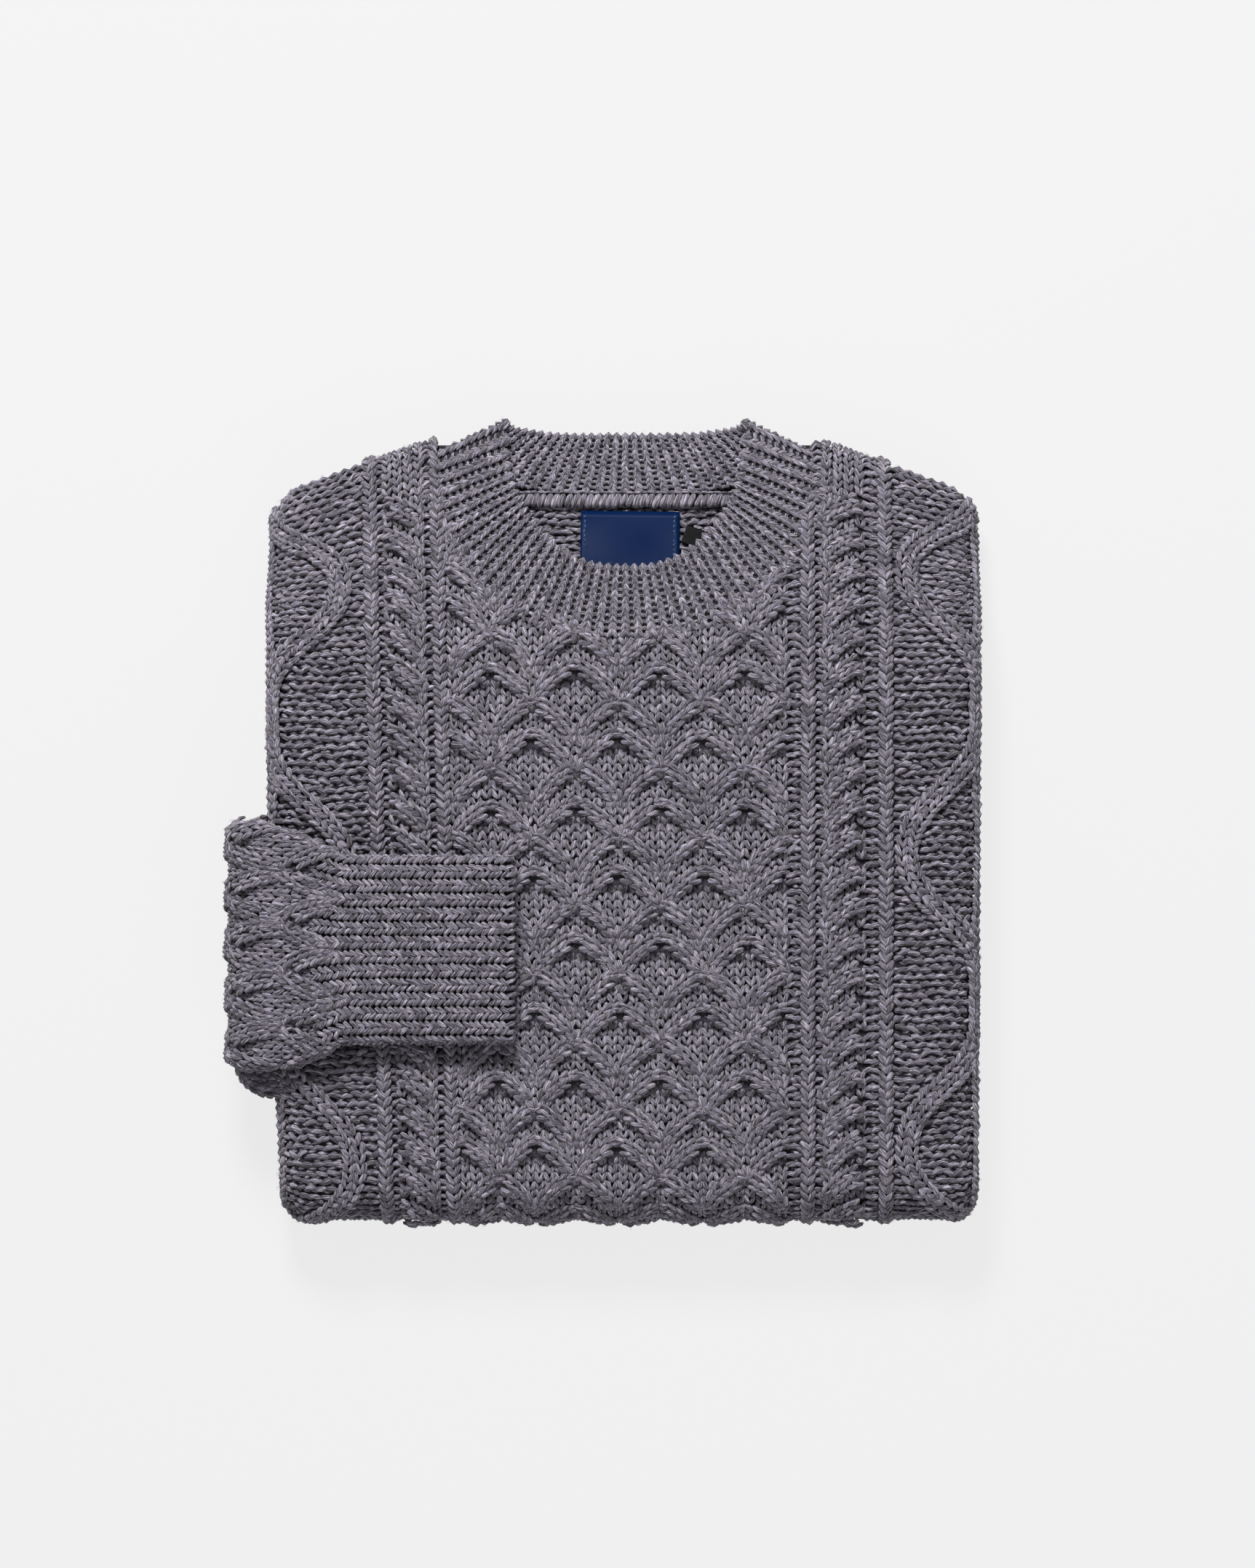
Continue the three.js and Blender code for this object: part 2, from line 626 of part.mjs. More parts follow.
function cuffBody() {
  const pitch = (CUFF.high - CUFF.low - SLEEVE_THICK) / CUFF_RIBS;
  const start = CUFF.high - SLEEVE_THICK / 2;
  const rib = (y) => CUFF_RIB_RISE * Math.abs(Math.sin((Math.PI * (start - y)) / pitch));
  const z = SLEEVE_TURN.z + SLEEVE_TURN.radius;
  const rings = (thick, inset, faceSteps, rise) =>
    spread(CUFF.from, CUFF.to, 3).map((x) => {
      const ring = { x, z, out: new THREE.Vector3(0, 0, 1), high: CUFF.high - inset, low: CUFF.low + inset };
      return flatRing(ring, { thick, faceSteps, backSteps: 3, rise });
    });
  const outer = rings(SLEEVE_THICK, 0, CUFF_RIBS * 4, rib);
  const inner = rings(SLEEVE_THICK - 2 * CUFF_WALL, CUFF_WALL, 3, () => 0);
  return tubeBody(outer, inner);
}

function addMesh(group, name, geometry, color, roughness) {
  const material = new THREE.MeshStandardMaterial({ color, roughness, metalness: 0 });
  const mesh = new THREE.Mesh(geometry, material);
  mesh.name = name;
  group.add(mesh);
}

function buildSweater() {
  const group = new THREE.Group();
  const neckCut = neckRecess(STACK * 2);
  const pocket = neckRecess(NECK_POCKET);
  addMesh(group, "front_panel", geometryOf(frontSheet().toManifold().subtract(neckCut)), WOOL, 0.95);
  addMesh(group, "folded_layers", geometryOf(coreManifold().subtract(pocket)), WOOL, 0.95);
  addMesh(group, "back_panel", backPanelBody().toGeometry(), WOOL, 0.95);
  addMesh(group, "neckband", neckbandBody().toGeometry(), WOOL, 0.95);
  addMesh(group, "neck_tape", tapeBody().toGeometry(), WOOL, 0.95);
  addMesh(group, "label_main", oblong(LABEL, 6).toGeometry(), NAVY, 0.5);
  addMesh(group, "label_size", oblong(SIZE_TAB, 2).toGeometry(), BLACK, 0.6);
  addMesh(group, "sleeve_right", sleeveBody().toGeometry(), WOOL, 0.95);
  addMesh(group, "cuff_right", cuffBody().toGeometry(), WOOL, 0.95);
  return group;
}

// Sets the origin under the middle of the sweater's box.
function centred(group) {
  const middle = new THREE.Box3().setFromObject(group).getCenter(new THREE.Vector3());
  group.position.set(-middle.x, -middle.y, 0);
  return group;
}

const sweater = centred(buildSweater());

export default sweater;
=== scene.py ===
# %% [markdown]
# # A folded cable knit sweater
#
# The sweater lies face up, folded as for a shelf, with one cuff brought round to the front.
# The script dresses a plain model of it. Thin shells of cloth follow the folds, and every
# stitch that shows is a few small bows of yarn laid on them. The steps are the camera and the
# light, the folded shape, one bow of yarn, the knitting chart, the pieces one by one, and the
# yarn itself.
#
# Lengths inside the steps are millimetres, and a mesh is scaled to metres when it is made.

# %% Load the plain model
import json
import math
import bmesh
import bpy
import numpy as np
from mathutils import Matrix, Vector

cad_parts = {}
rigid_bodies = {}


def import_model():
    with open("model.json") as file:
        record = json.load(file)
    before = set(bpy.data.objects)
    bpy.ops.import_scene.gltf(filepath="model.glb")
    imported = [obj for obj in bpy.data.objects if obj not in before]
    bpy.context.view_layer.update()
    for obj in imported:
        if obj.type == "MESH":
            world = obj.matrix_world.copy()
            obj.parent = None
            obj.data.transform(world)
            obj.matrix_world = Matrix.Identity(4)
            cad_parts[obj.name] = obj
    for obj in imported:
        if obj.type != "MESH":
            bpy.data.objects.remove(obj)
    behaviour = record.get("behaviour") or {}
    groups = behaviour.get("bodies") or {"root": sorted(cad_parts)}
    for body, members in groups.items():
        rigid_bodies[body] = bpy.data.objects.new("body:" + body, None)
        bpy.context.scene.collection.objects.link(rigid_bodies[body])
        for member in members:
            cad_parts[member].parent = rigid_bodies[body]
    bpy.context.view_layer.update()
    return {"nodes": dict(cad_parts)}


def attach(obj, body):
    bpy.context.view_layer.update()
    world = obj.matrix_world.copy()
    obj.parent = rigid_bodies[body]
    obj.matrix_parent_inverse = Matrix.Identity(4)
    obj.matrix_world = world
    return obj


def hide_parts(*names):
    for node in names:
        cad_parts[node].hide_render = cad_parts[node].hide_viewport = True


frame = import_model()
MM = 0.001
random = np.random.default_rng(7)
print("nodes:", sorted(frame["nodes"]))

# %% [markdown]
# ## Camera, floor and light
#
# The photograph looks straight down on the sweater. A camera close above it would show the
# sides of the pile, so this one stands three metres up with a long lens, and there is nearly
# no perspective. The picture is 755 mm high where the wool is.

# %% The camera
SCENE = bpy.context.scene
SCENE.view_settings.view_transform = "Standard"
VIEW = {"x": 0.0130, "y": 0.0175, "height": 0.7546, "distance": 3.0, "level": 0.05}

camera_data = bpy.data.cameras.new("camera")
camera_data.sensor_width = 36
camera_data.lens = 36 * VIEW["distance"] / VIEW["height"]
camera = bpy.data.objects.new("camera", camera_data)
camera.location = (VIEW["x"], VIEW["y"], VIEW["level"] + VIEW["distance"])
SCENE.collection.objects.link(camera)
SCENE.camera = camera
print("lens:", round(camera_data.lens, 1), "mm")

# %% [markdown]
# A catalogue picture has a floor that is almost white and still takes a soft shadow. A white
# floor under strong lamps would burn out and light the wool from below. So this floor is dark
# paper that glows a little by itself: its own light sets the tone, and a shadow only dims the
# rest. The key lamp stands beyond the shoulders, so each cable shades the wool towards the
# hem. A large weak lamp on the hem's side and a dim sky lift the hollows.

# %% Floor and lamps
def new_material(name):
    material = bpy.data.materials.new(name)
    material.use_nodes = True
    return material, material.node_tree, material.node_tree.nodes["Principled BSDF"]


def add_floor():
    shape = bmesh.new()
    bmesh.ops.create_grid(shape, x_segments=1, y_segments=1, size=4.0)
    mesh = bpy.data.meshes.new("floor")
    shape.to_mesh(mesh)
    shape.free()
    floor = bpy.data.objects.new("floor", mesh)
    SCENE.collection.objects.link(floor)
    material, _, surface = new_material("paper")
    surface.inputs["Base Color"].default_value = (0.05, 0.05, 0.05, 1)
    surface.inputs["Emission Color"].default_value = (1, 1, 1, 1)
    surface.inputs["Emission Strength"].default_value = 0.79
    surface.inputs["Roughness"].default_value = 0.9
    surface.inputs["Specular IOR Level"].default_value = 0.1
    mesh.materials.append(material)


def add_lamp(name, place, size, power):
    data = bpy.data.lights.new(name, "AREA")
    data.shape = "DISK"
    data.size = size
    data.energy = power
    lamp = bpy.data.objects.new(name, data)
    lamp.location = place
    target = np.array([0, 0, 0.02]) - np.array(place)
    lamp.rotation_euler = Vector(target).to_track_quat("-Z", "Y").to_euler()
    SCENE.collection.objects.link(lamp)


def add_sky(strength):
    world = bpy.data.worlds.new("sky")
    world.use_nodes = True
    background = world.node_tree.nodes["Background"]
    background.inputs["Color"].default_value = (1, 1, 1, 1)
    background.inputs["Strength"].default_value = strength
    SCENE.world = world


add_floor()
add_lamp("key", (-0.3, 1.6, 1.7), 0.6, 95)
add_lamp("fill", (0.6, -1.7, 1.4), 1.5, 15)
add_sky(0.43)

# %% [markdown]
# ## The folded shape
#
# The body of a sweater is a flat tube. Here it runs from the shoulders down the front, round
# the bottom fold and back up underneath. A cloth simulation could fold it, but then no stitch
# would know its place. So a formula bends flat cloth. A place on the cloth has two numbers,
# `a` across and `b` along, and `package` finds that place in space. Past the sides the cloth
# rolls round an edge, past the fold it turns about an axis, and past the shoulders it curls
# under.

# %% Sizes of the folded body
SHIFT = np.array([1.49, 0.72, 0.0])  # from these numbers to the model's own origin
STACK, SHOULDER_HEIGHT = 50.0, 31.0
LEG, THIN_LEG = 25.0, 4.0  # height of the lower half, and of its end at the shoulders
ROLL = 12.5  # radius of the rolled sides
DROOP, LOWER_END = (70.0, 184.0), (95.0, 150.0)  # where the pile and its lower half get lower
FOLD_Y, SHOULDER_Y, SHOULDER_SLOPE = -169.0, 183.0, 0.36
NECK_X, NECK_HALF = 10.5, 98.0
SIDE_Y = [-180.0, -100.0, 0.0, 110.0, 160.0]
LEFT_X = [-153.5, -158.0, -160.0, -161.0, -160.0]
RIGHT_X = [178.5, 179.0, 179.5, 180.0, 179.5]
END_RADIUS = (SHOULDER_HEIGHT - THIN_LEG) / 2
END_Y = SHOULDER_Y - END_RADIUS
CURL = 100.0  # degrees that the cloth turns under at the shoulders
TOP_B = END_Y + END_RADIUS * math.radians(CURL)
UNDER_B = FOLD_Y - math.pi * LEG
LOWER_B = UNDER_B - (LOWER_END[1] - FOLD_Y)


def ease(low, high, value):
    share = np.clip((value - low) / (high - low), 0, 1)
    return share * share * (3 - 2 * share)


def top_height(y):
    return STACK + (SHOULDER_HEIGHT - STACK) * ease(*DROOP, y)


def split_height(y):
    return LEG + (THIN_LEG - LEG) * ease(*LOWER_END, y)


def package(a, b, lift):
    a, b, lift = np.broadcast_arrays(*(np.asarray(v, float) for v in (a, b, lift)))
    turn = np.where(b < FOLD_Y, (FOLD_Y - b) / LEG, 0)
    turn = turn - np.where(b > END_Y, (b - END_Y) / END_RADIUS, 0)
    under = turn > math.pi
    y = np.where(under, 2 * FOLD_Y - math.pi * LEG - b, np.clip(b, FOLD_Y, END_Y))
    turn = np.minimum(turn, math.pi)
    bending = (b < FOLD_Y) & ~under
    split = split_height(y)
    half = np.where(under, split, top_height(y) - split) / 2
    middle_z = np.where(under, half, split + half)
    half = np.where(bending, ROLL, half)
    middle_y = np.where(bending, y - ROLL * np.sin(turn), y)
    middle_z = np.where(bending, LEG + ROLL * np.cos(turn), middle_z)
    left = np.interp(y, SIDE_Y, LEFT_X) + ROLL
    right = np.interp(y, SIDE_Y, RIGHT_X) - ROLL
    past = np.where(a < left, a - left, np.where(a > right, a - right, 0))
    roll = np.clip(past / ROLL, -math.pi, math.pi)
    back = past - roll * ROLL
    x = np.clip(a, left, right) + np.sin(roll) * np.maximum(ROLL + lift, 1) - back
    up = (half + lift) * np.cos(roll)
    y = middle_y - up * np.sin(turn)
    z = middle_z + up * np.cos(turn)
    beyond = np.maximum(np.abs(x - NECK_X) - NECK_HALF, 0)
    y = y - beyond * SHOULDER_SLOPE * ease(DROOP[0], SHOULDER_Y, y)
    return np.stack([x, y, z], -1)


QUARTER_FOLD = LEG * math.pi / 2
print("top of the front:", package(0, 0, 0).round(1))
print("the fold reaches to:", package(0, FOLD_Y - QUARTER_FOLD, 0).round(1))

# %% [markdown]
# The sleeve and its cuff are one more flat tube. It comes out of the groove between the
# folded halves, goes round the left edge and lies on the front. The body's way serves again:
# `a` is the place across the sleeve, from -1 to 1, and `b` runs back along it from the end of
# the cuff.

# %% Sizes of the sleeve
TURN_X, TURN_Z, TURN_RADIUS = -155.5, 40.4, 19.0
ARM_HALF = 6.3  # half the thickness of the flat sleeve
CUFF_END, CUFF_START = -43.5, -127.0
CUFF_HIGH, CUFF_LOW = -18.5, -106.5
GROOVE_TURN = 160.0
ARM_ALONG = [0.0, 0.5, 0.72, 0.88, 1.0]
ARM_HIGH = [0.0, -1.5, -6.0, -12.0, -16.5]
ARM_LOW = [-121.0, -120.5, -118.0, -113.5, -109.0]
CUFF_LENGTH = CUFF_END - CUFF_START
ARM_FLAT = CUFF_END - TURN_X
ARM_LENGTH = ARM_FLAT + TURN_RADIUS * math.radians(GROOVE_TURN)


def arm_edges(b):
    on_flat = (ARM_FLAT - b) / (ARM_FLAT - CUFF_LENGTH)
    on_turn = 1 - (b - ARM_FLAT) / (ARM_LENGTH - ARM_FLAT)
    along = np.where(b > ARM_FLAT, 0.7 * on_turn, 0.7 + 0.3 * np.clip(on_flat, 0, 1))
    join = ease(CUFF_LENGTH - 4, CUFF_LENGTH + 4, b)
    high = join * np.interp(along, ARM_ALONG, ARM_HIGH) + (1 - join) * CUFF_HIGH
    low = join * np.interp(along, ARM_ALONG, ARM_LOW) + (1 - join) * CUFF_LOW
    return high, low


def arm(a, b, lift):
    a, b, lift = np.broadcast_arrays(*(np.asarray(v, float) for v in (a, b, lift)))
    high, low = arm_edges(b)
    half = (high - low) / 2 - ARM_HALF
    reach = a * (half + ARM_HALF * math.pi / 2)
    past = np.sign(reach) * np.maximum(np.abs(reach) - half, 0) / ARM_HALF
    y = (high + low) / 2 + np.clip(reach, -half, half) + (ARM_HALF + lift) * np.sin(past)
    out = (ARM_HALF + lift) * np.cos(past)
    angle = math.pi / 2 - np.maximum(b - ARM_FLAT, 0) / TURN_RADIUS
    x = np.where(b > ARM_FLAT, TURN_X, CUFF_END - b) - (TURN_RADIUS + out) * np.cos(angle)
    z = TURN_Z + (TURN_RADIUS + out) * np.sin(angle)
    return np.stack([x, y, z], -1)


print("cuff's end:", arm(0, 0, 0).round(1), "in the groove:", arm(0, ARM_LENGTH, 0).round(1))

# %% [markdown]
# The neckband is a ring of ribbing, and all its ribs run from the free edge to the seam. So it
# is a strip between two closed curves. Half of each curve is in the table, from the middle of
# the front to the middle of the back, with the layer that it lies in: 1 on the front, 0 at
# the back of the neck. The other half is the mirror image.

# %% Sizes of the neckband
BAND = np.array([
    # seam x, seam y, free x, free y, layer
    [0, 90, 0, 121.5, 1], [28, 92, 18.5, 123.5, 1], [53, 100.5, 34, 132.5, 1],
    [73.5, 117, 46, 146, 1], [86, 143, 53.5, 160, 1], [91, 163, 57, 176, 0.92],
    [91, 175, 57, 191.5, 0.5], [82, 172, 53, 189.5, 0.06], [52, 163, 34, 186.5, 0],
    [0, 159, 0, 186, 0],
])
FRONT_DROP, BACK_DROP = 2.5, 10.5  # depth of the band's middle below the top of the pile
BAND_RISE = 2.0
CURVE_STEPS, SHOULDER_STEP = 40, 6  # points between two rows of the table, and its row there
BAND_RIBS, BAND_ROWS = 76, 9
BAND_CORNER = 0.31  # share of the ring from the front's middle to a shoulder


def closed_curve(points):
    before, after = np.roll(points, 1, 0), np.roll(points, -1, 0)
    beyond = np.roll(points, -2, 0)
    t = (np.arange(CURVE_STEPS) / CURVE_STEPS)[None, :, None]
    p0, p1, p2, p3 = (p[:, None, :] for p in (before, points, after, beyond))
    curve = 0.5 * (2 * p1 + (p2 - p0) * t + (2 * p0 - 5 * p1 + 4 * p2 - p3) * t**2
                   + (3 * p1 - p0 - 3 * p2 + p3) * t**3)
    return curve.reshape(-1, points.shape[1])


def band_curves():
    other = BAND[1:-1][::-1] * np.array([-1, 1, -1, 1, 1])
    curve = closed_curve(np.vstack([BAND, other]))
    layer = np.clip(curve[:, 4], 0, 1)
    drop = BACK_DROP + (FRONT_DROP - BACK_DROP) * layer
    edges = []
    for x, y in ((0, 1), (2, 3)):
        height = top_height(curve[:, y]) - drop
        edges.append(np.stack([NECK_X + curve[:, x], curve[:, y], height], -1))
    length = np.linalg.norm(np.diff(edges[0], axis=0, append=edges[0][:1]), axis=1)
    place = np.concatenate([[0], np.cumsum(length)])
    return edges[0], edges[1], place


SEAM_EDGE, FREE_EDGE, SEAM_PLACE = band_curves()
BAND_ROUND = SEAM_PLACE[-1]


def along_ring(edge, share):
    place = (share % 1.0) * BAND_ROUND
    closed = np.vstack([edge, edge[:1]])
    return np.stack([np.interp(place, SEAM_PLACE, closed[:, k]) for k in range(3)], -1)


def band(a, b, lift):
    a, b, lift = np.broadcast_arrays(*(np.asarray(v, float) for v in (a, b, lift)))
    share = a / BAND_RIBS
    seam, free = along_ring(SEAM_EDGE, share), along_ring(FREE_EDGE, share)
    step = 0.006
    ahead = along_ring(SEAM_EDGE, share + step) + along_ring(FREE_EDGE, share + step)
    behind = along_ring(SEAM_EDGE, share - step) + along_ring(FREE_EDGE, share - step)
    normal = np.cross(ahead - behind, seam - free)
    normal *= -1 / np.linalg.norm(normal, axis=-1, keepdims=True)
    normal *= np.where(normal[..., 2:] < -0.2, -1, 1)
    return free + (seam - free) * (b / BAND_ROWS)[..., None] + normal * (BAND_RISE + lift)[..., None]


print("band round the seam:", round(BAND_ROUND), "mm; front middle:", band(0, 4.5, 0).round(1))

# %% [markdown]
# ## One bow of yarn
#
# Seen from the front, a knit stitch is two plump legs in a V, and a purl stitch is a short bow
# across. Wool this thick needs real stitches, because a bump on a flat sheet has no shadow in
# its gaps and no outline at the edges. A yarn swept along every loop would have millions of
# faces, most of them hidden. So only what shows of a loop is made: a grain, drawn once as a
# small rounded body and then bent along three places.

# %% The grain
def grain_shape(sides, rings):
    shape = bmesh.new()
    bmesh.ops.create_uvsphere(shape, u_segments=sides, v_segments=rings, radius=1)
    shape.verts.index_update()
    along = np.array([v.co.z for v in shape.verts])
    around = np.array([math.atan2(v.co.y, v.co.x) for v in shape.verts])
    wide = np.array([math.hypot(v.co.x, v.co.y) for v in shape.verts])
    corners, sizes, uvs = [], [], []
    for face in shape.faces:
        middle = face.calc_center_median()
        heading = math.atan2(middle.y, middle.x)
        sizes.append(len(face.verts))
        for vert in face.verts:
            corners.append(vert.index)
            turn = around[vert.index] if wide[vert.index] > 0.01 else heading
            turn = heading + (turn - heading + math.pi) % math.tau - math.pi
            uvs.append((0.5 + 0.5 * vert.co.z, turn / math.tau))
    shape.free()
    share = 0.5 + 0.5 * np.sign(along) * np.abs(along) ** 0.85
    return {"share": share, "around": around, "wide": wide**0.6,
            "corners": np.array(corners), "sizes": np.array(sizes), "uvs": np.array(uvs)}


FINE, MEDIUM, COARSE = grain_shape(6, 5), grain_shape(6, 4), grain_shape(5, 4)
PLAIN, HAIR = grain_shape(4, 3), grain_shape(3, 2)
print("triangles in a fine grain:", int((FINE["sizes"] - 2).sum()),
      "and in a coarse one:", int((COARSE["sizes"] - 2).sum()))


# %% Bending a grain
FLATTENED = 0.9  # height of a grain to its width


def unit(vectors):
    return vectors / np.maximum(np.linalg.norm(vectors, axis=-1, keepdims=True), 1e-9)


def bent_grains(grain, bows):
    start, middle, end, up, radius = bows
    t = grain["share"][None, :, None]
    pull = 2 * middle - (start + end) / 2
    start, pull, end = start[:, None], pull[:, None], end[:, None]
    place = (1 - t) ** 2 * start + 2 * t * (1 - t) * pull + t**2 * end
    along = unit(2 * (1 - t) * (pull - start) + 2 * t * (end - pull))
    side = unit(np.cross(up[:, None], along))
    top = np.cross(along, side)
    wide = (radius[:, None] * grain["wide"][None])[..., None]
    around = grain["around"][None, :, None]
    return place + wide * (side * np.cos(around) + top * np.sin(around) * FLATTENED)


# %% [markdown]
# Thousands of grains become one mesh. An object for each would be slow, so the mesh is filled
# straight from arrays. Its map `yarn` runs along and around each grain in millimetres, and its
# attribute `tone` is one random number for each grain.

# %% A mesh of many grains
def mesh_from_bows(name, parts):
    points, corners, sizes, uvs, tones = [], [], [], [], []
    first = 0
    for grain, bows in parts:
        placed = bent_grains(grain, bows) + SHIFT
        count, each = placed.shape[:2]
        length = np.linalg.norm(bows[2] - bows[0], axis=1)
        yarn = np.tile(grain["uvs"], (count, 1))
        yarn[:, 0] *= np.repeat(length, len(grain["corners"]))
        yarn[:, 1] *= math.tau * np.repeat(bows[4], len(grain["corners"]))
        points.append(placed.reshape(-1, 3))
        corners.append((grain["corners"][None] + each * np.arange(count)[:, None]).ravel() + first)
        sizes.append(np.tile(grain["sizes"], count))
        uvs.append(yarn)
        tones.append(np.repeat(random.random(count), each))
        first += count * each
    points, corners, sizes, uvs, tones = (np.concatenate(v) for v in (points, corners, sizes, uvs, tones))
    mesh = bpy.data.meshes.new(name)
    mesh.vertices.add(len(points))
    mesh.vertices.foreach_set("co", (points * MM).astype(np.float32).ravel())
    mesh.loops.add(len(corners))
    mesh.loops.foreach_set("vertex_index", corners.astype(np.int32))
    mesh.polygons.add(len(sizes))
    mesh.polygons.foreach_set("loop_start", (np.cumsum(sizes) - sizes).astype(np.int32))
    mesh.uv_layers.new(name="yarn").data.foreach_set("uv", uvs.astype(np.float32).ravel())
    mesh.attributes.new("tone", "FLOAT", "POINT").data.foreach_set("value", tones.astype(np.float32))
    mesh.polygons.foreach_set("use_smooth", np.ones(len(sizes), bool))
    mesh.update(calc_edges=True)
    mesh.validate()
    thing = bpy.data.objects.new(name, mesh)
    SCENE.collection.objects.link(thing)
    print(f"{name}: {len(parts[0][1][0])} bows, {int((sizes - 2).sum())} triangles")
    return thing


# %% [markdown]
# `Knitting` collects the bows of one piece in the cloth's own numbers, keeps the ones that
# show, and shakes each of them a little, because yarn is never pulled evenly. `wale` lays knit
# stitches along a path, from its first place to its last: the two legs of each stitch start
# close together and open out. `purls` lays bows across a path. `hairs` lets thin fibres stand
# off the yarn.

# %% Stitches along a path
# along the path in stitches, across it in wales, and up in millimetres
LEGS = [(-0.15, 0.03, -0.5), (0.45, 0.26, 0.5), (1.15, 0.41, -0.7)]
RIB_LEGS = [(-0.4, -0.06, -0.1), (0.3, 0.22, 0.7), (0.95, 0.47, -1.0)]


class Knitting:
    def __init__(self, place, keep=None):
        self.place, self.keep, self.bows = place, keep, []

    def add(self, three, radius, shake=0.22):
        three = np.stack(np.broadcast_arrays(*three), 0).reshape(3, -1, 3)
        radius = np.broadcast_to(radius, three.shape[1]) * random.normal(1.03, 0.09, three.shape[1])
        three = three + random.normal(0, shake, three.shape) * [1, 1, 0.8]
        if self.keep is not None:
            shown = self.keep(three[1, :, 0], three[1, :, 1])
            three, radius = three[:, shown], radius[shown]
        self.bows.append((three, radius))

    def wale(self, path, width, radius, legs=LEGS, shown=slice(None)):
        step, start = np.diff(path, axis=0)[shown], path[:-1][shown]
        flat = unit(step[:, :2])
        across = np.stack([flat[:, 1], -flat[:, 0], np.zeros(len(flat))], -1)
        for side in (-1, 1):
            three = [start + step * share + across * side * offset * width + [0, 0, up]
                     for share, offset, up in legs]
            self.add(three, radius)

    def purls(self, a, b, lift, width, row, radius, feet=True):
        a, b, lift = (np.ravel(v) for v in np.broadcast_arrays(a, b, lift))
        slope = random.normal(0, 0.3, len(a)) * row
        b = b + random.normal(0, 0.35, len(b))
        head = [np.stack([a + width * s, b + row * rise + slope * s, lift + h], -1)
                for s, rise, h in ((-0.6, -0.12, -1.1), (0, 0.1, 0.6), (0.6, -0.12, -1.1))]
        self.add(head, radius)
        if feet:
            foot = [np.stack([a + width * (s + 0.5), b + row * rise - slope * s, lift + h], -1)
                    for s, rise, h in ((-0.5, -0.4, -2.2), (0, -0.55, -1.0), (0.5, -0.4, -2.2))]
            self.add(foot, radius * 0.85)

    def spread(self, three):
        places = self.place(three[..., 0], three[..., 1], three[..., 2])
        above = self.place(three[1, :, 0], three[1, :, 1], three[1, :, 2] + 1)
        return (*places, unit(above - places[1]))

    def hairs(self, placed, share):
        start, middle, end, up, radius = placed
        some = random.integers(0, len(radius), int(share * len(radius)))
        up, turn = up[some], random.normal(0, 0.45, (len(some), 1))
        along = unit(end[some] - start[some])
        heading = along * np.cos(turn) + np.cross(up, along) * np.sin(turn)
        middle = middle[some] + up * (0.8 * radius[some, None] + 0.1)
        middle = middle + random.normal(0, 0.4, (len(some), 3))
        reach = heading * random.uniform(1.2, 2.8, (len(some), 1))
        ends = [middle + side * reach - up * random.uniform(-0.2, 1.1, (len(some), 1)) for side in (-1, 1)]
        return ends[0], middle, ends[1], up, random.uniform(0.05, 0.1, len(some))

    def make(self, name, grain, hairs=0.35):
        three = np.concatenate([t for t, _ in self.bows], 1)
        radius = np.concatenate([r for _, r in self.bows])
        placed = (*self.spread(three), radius)
        parts = [(grain, placed)]
        if hairs:
            parts.append((HAIR, self.hairs(placed, hairs)))
        return mesh_from_bows(name, parts)


# %% [markdown]
# ## The knitting chart
#
# In a honeycomb each crossing carries two stitches over two others. What one sees is arches
# over a plain ground, like the scales of a fish, in bands of crossings four rows apart. A rope
# is the half of it: one leg of an arch, again and again. So one class draws both, which is
# shorter than to move every strand through its crossings. `leg` is the path of half an arch,
# `knit` lays it wherever an arch stands, and `ground` lays the plain wales between. These sink
# and stop below the top of an arch, where the dark hollows are.

# %% Rows, bands and cables
ROW = 4.1
BAND_PITCH = 4 * ROW
FIRST_BAND = 72.5
LAST_ROW = -236.0
FAR = 30.0  # more than any arch is away from the next


def evenly(path, step):
    run = np.concatenate([[0], np.cumsum(np.linalg.norm(np.diff(path[:, :2], axis=0), axis=1))])
    places = np.arange(0, run[-1], step)
    return np.column_stack([np.interp(places, run, path[:, k]) for k in range(path.shape[1])])


def front_bands():
    first, last = ((FIRST_BAND - b) / BAND_PITCH for b in (TOP_B, LAST_ROW))
    numbers = range(math.floor(first), math.ceil(last) + 1)
    return [(k, FIRST_BAND - k * BAND_PITCH) for k in reversed(numbers)]


def front_rows():
    return np.arange(LAST_ROW, TOP_B - 2, ROW)


BODY_BANDS = front_bands()
print("bands of crossings on the front:", len(BODY_BANDS))


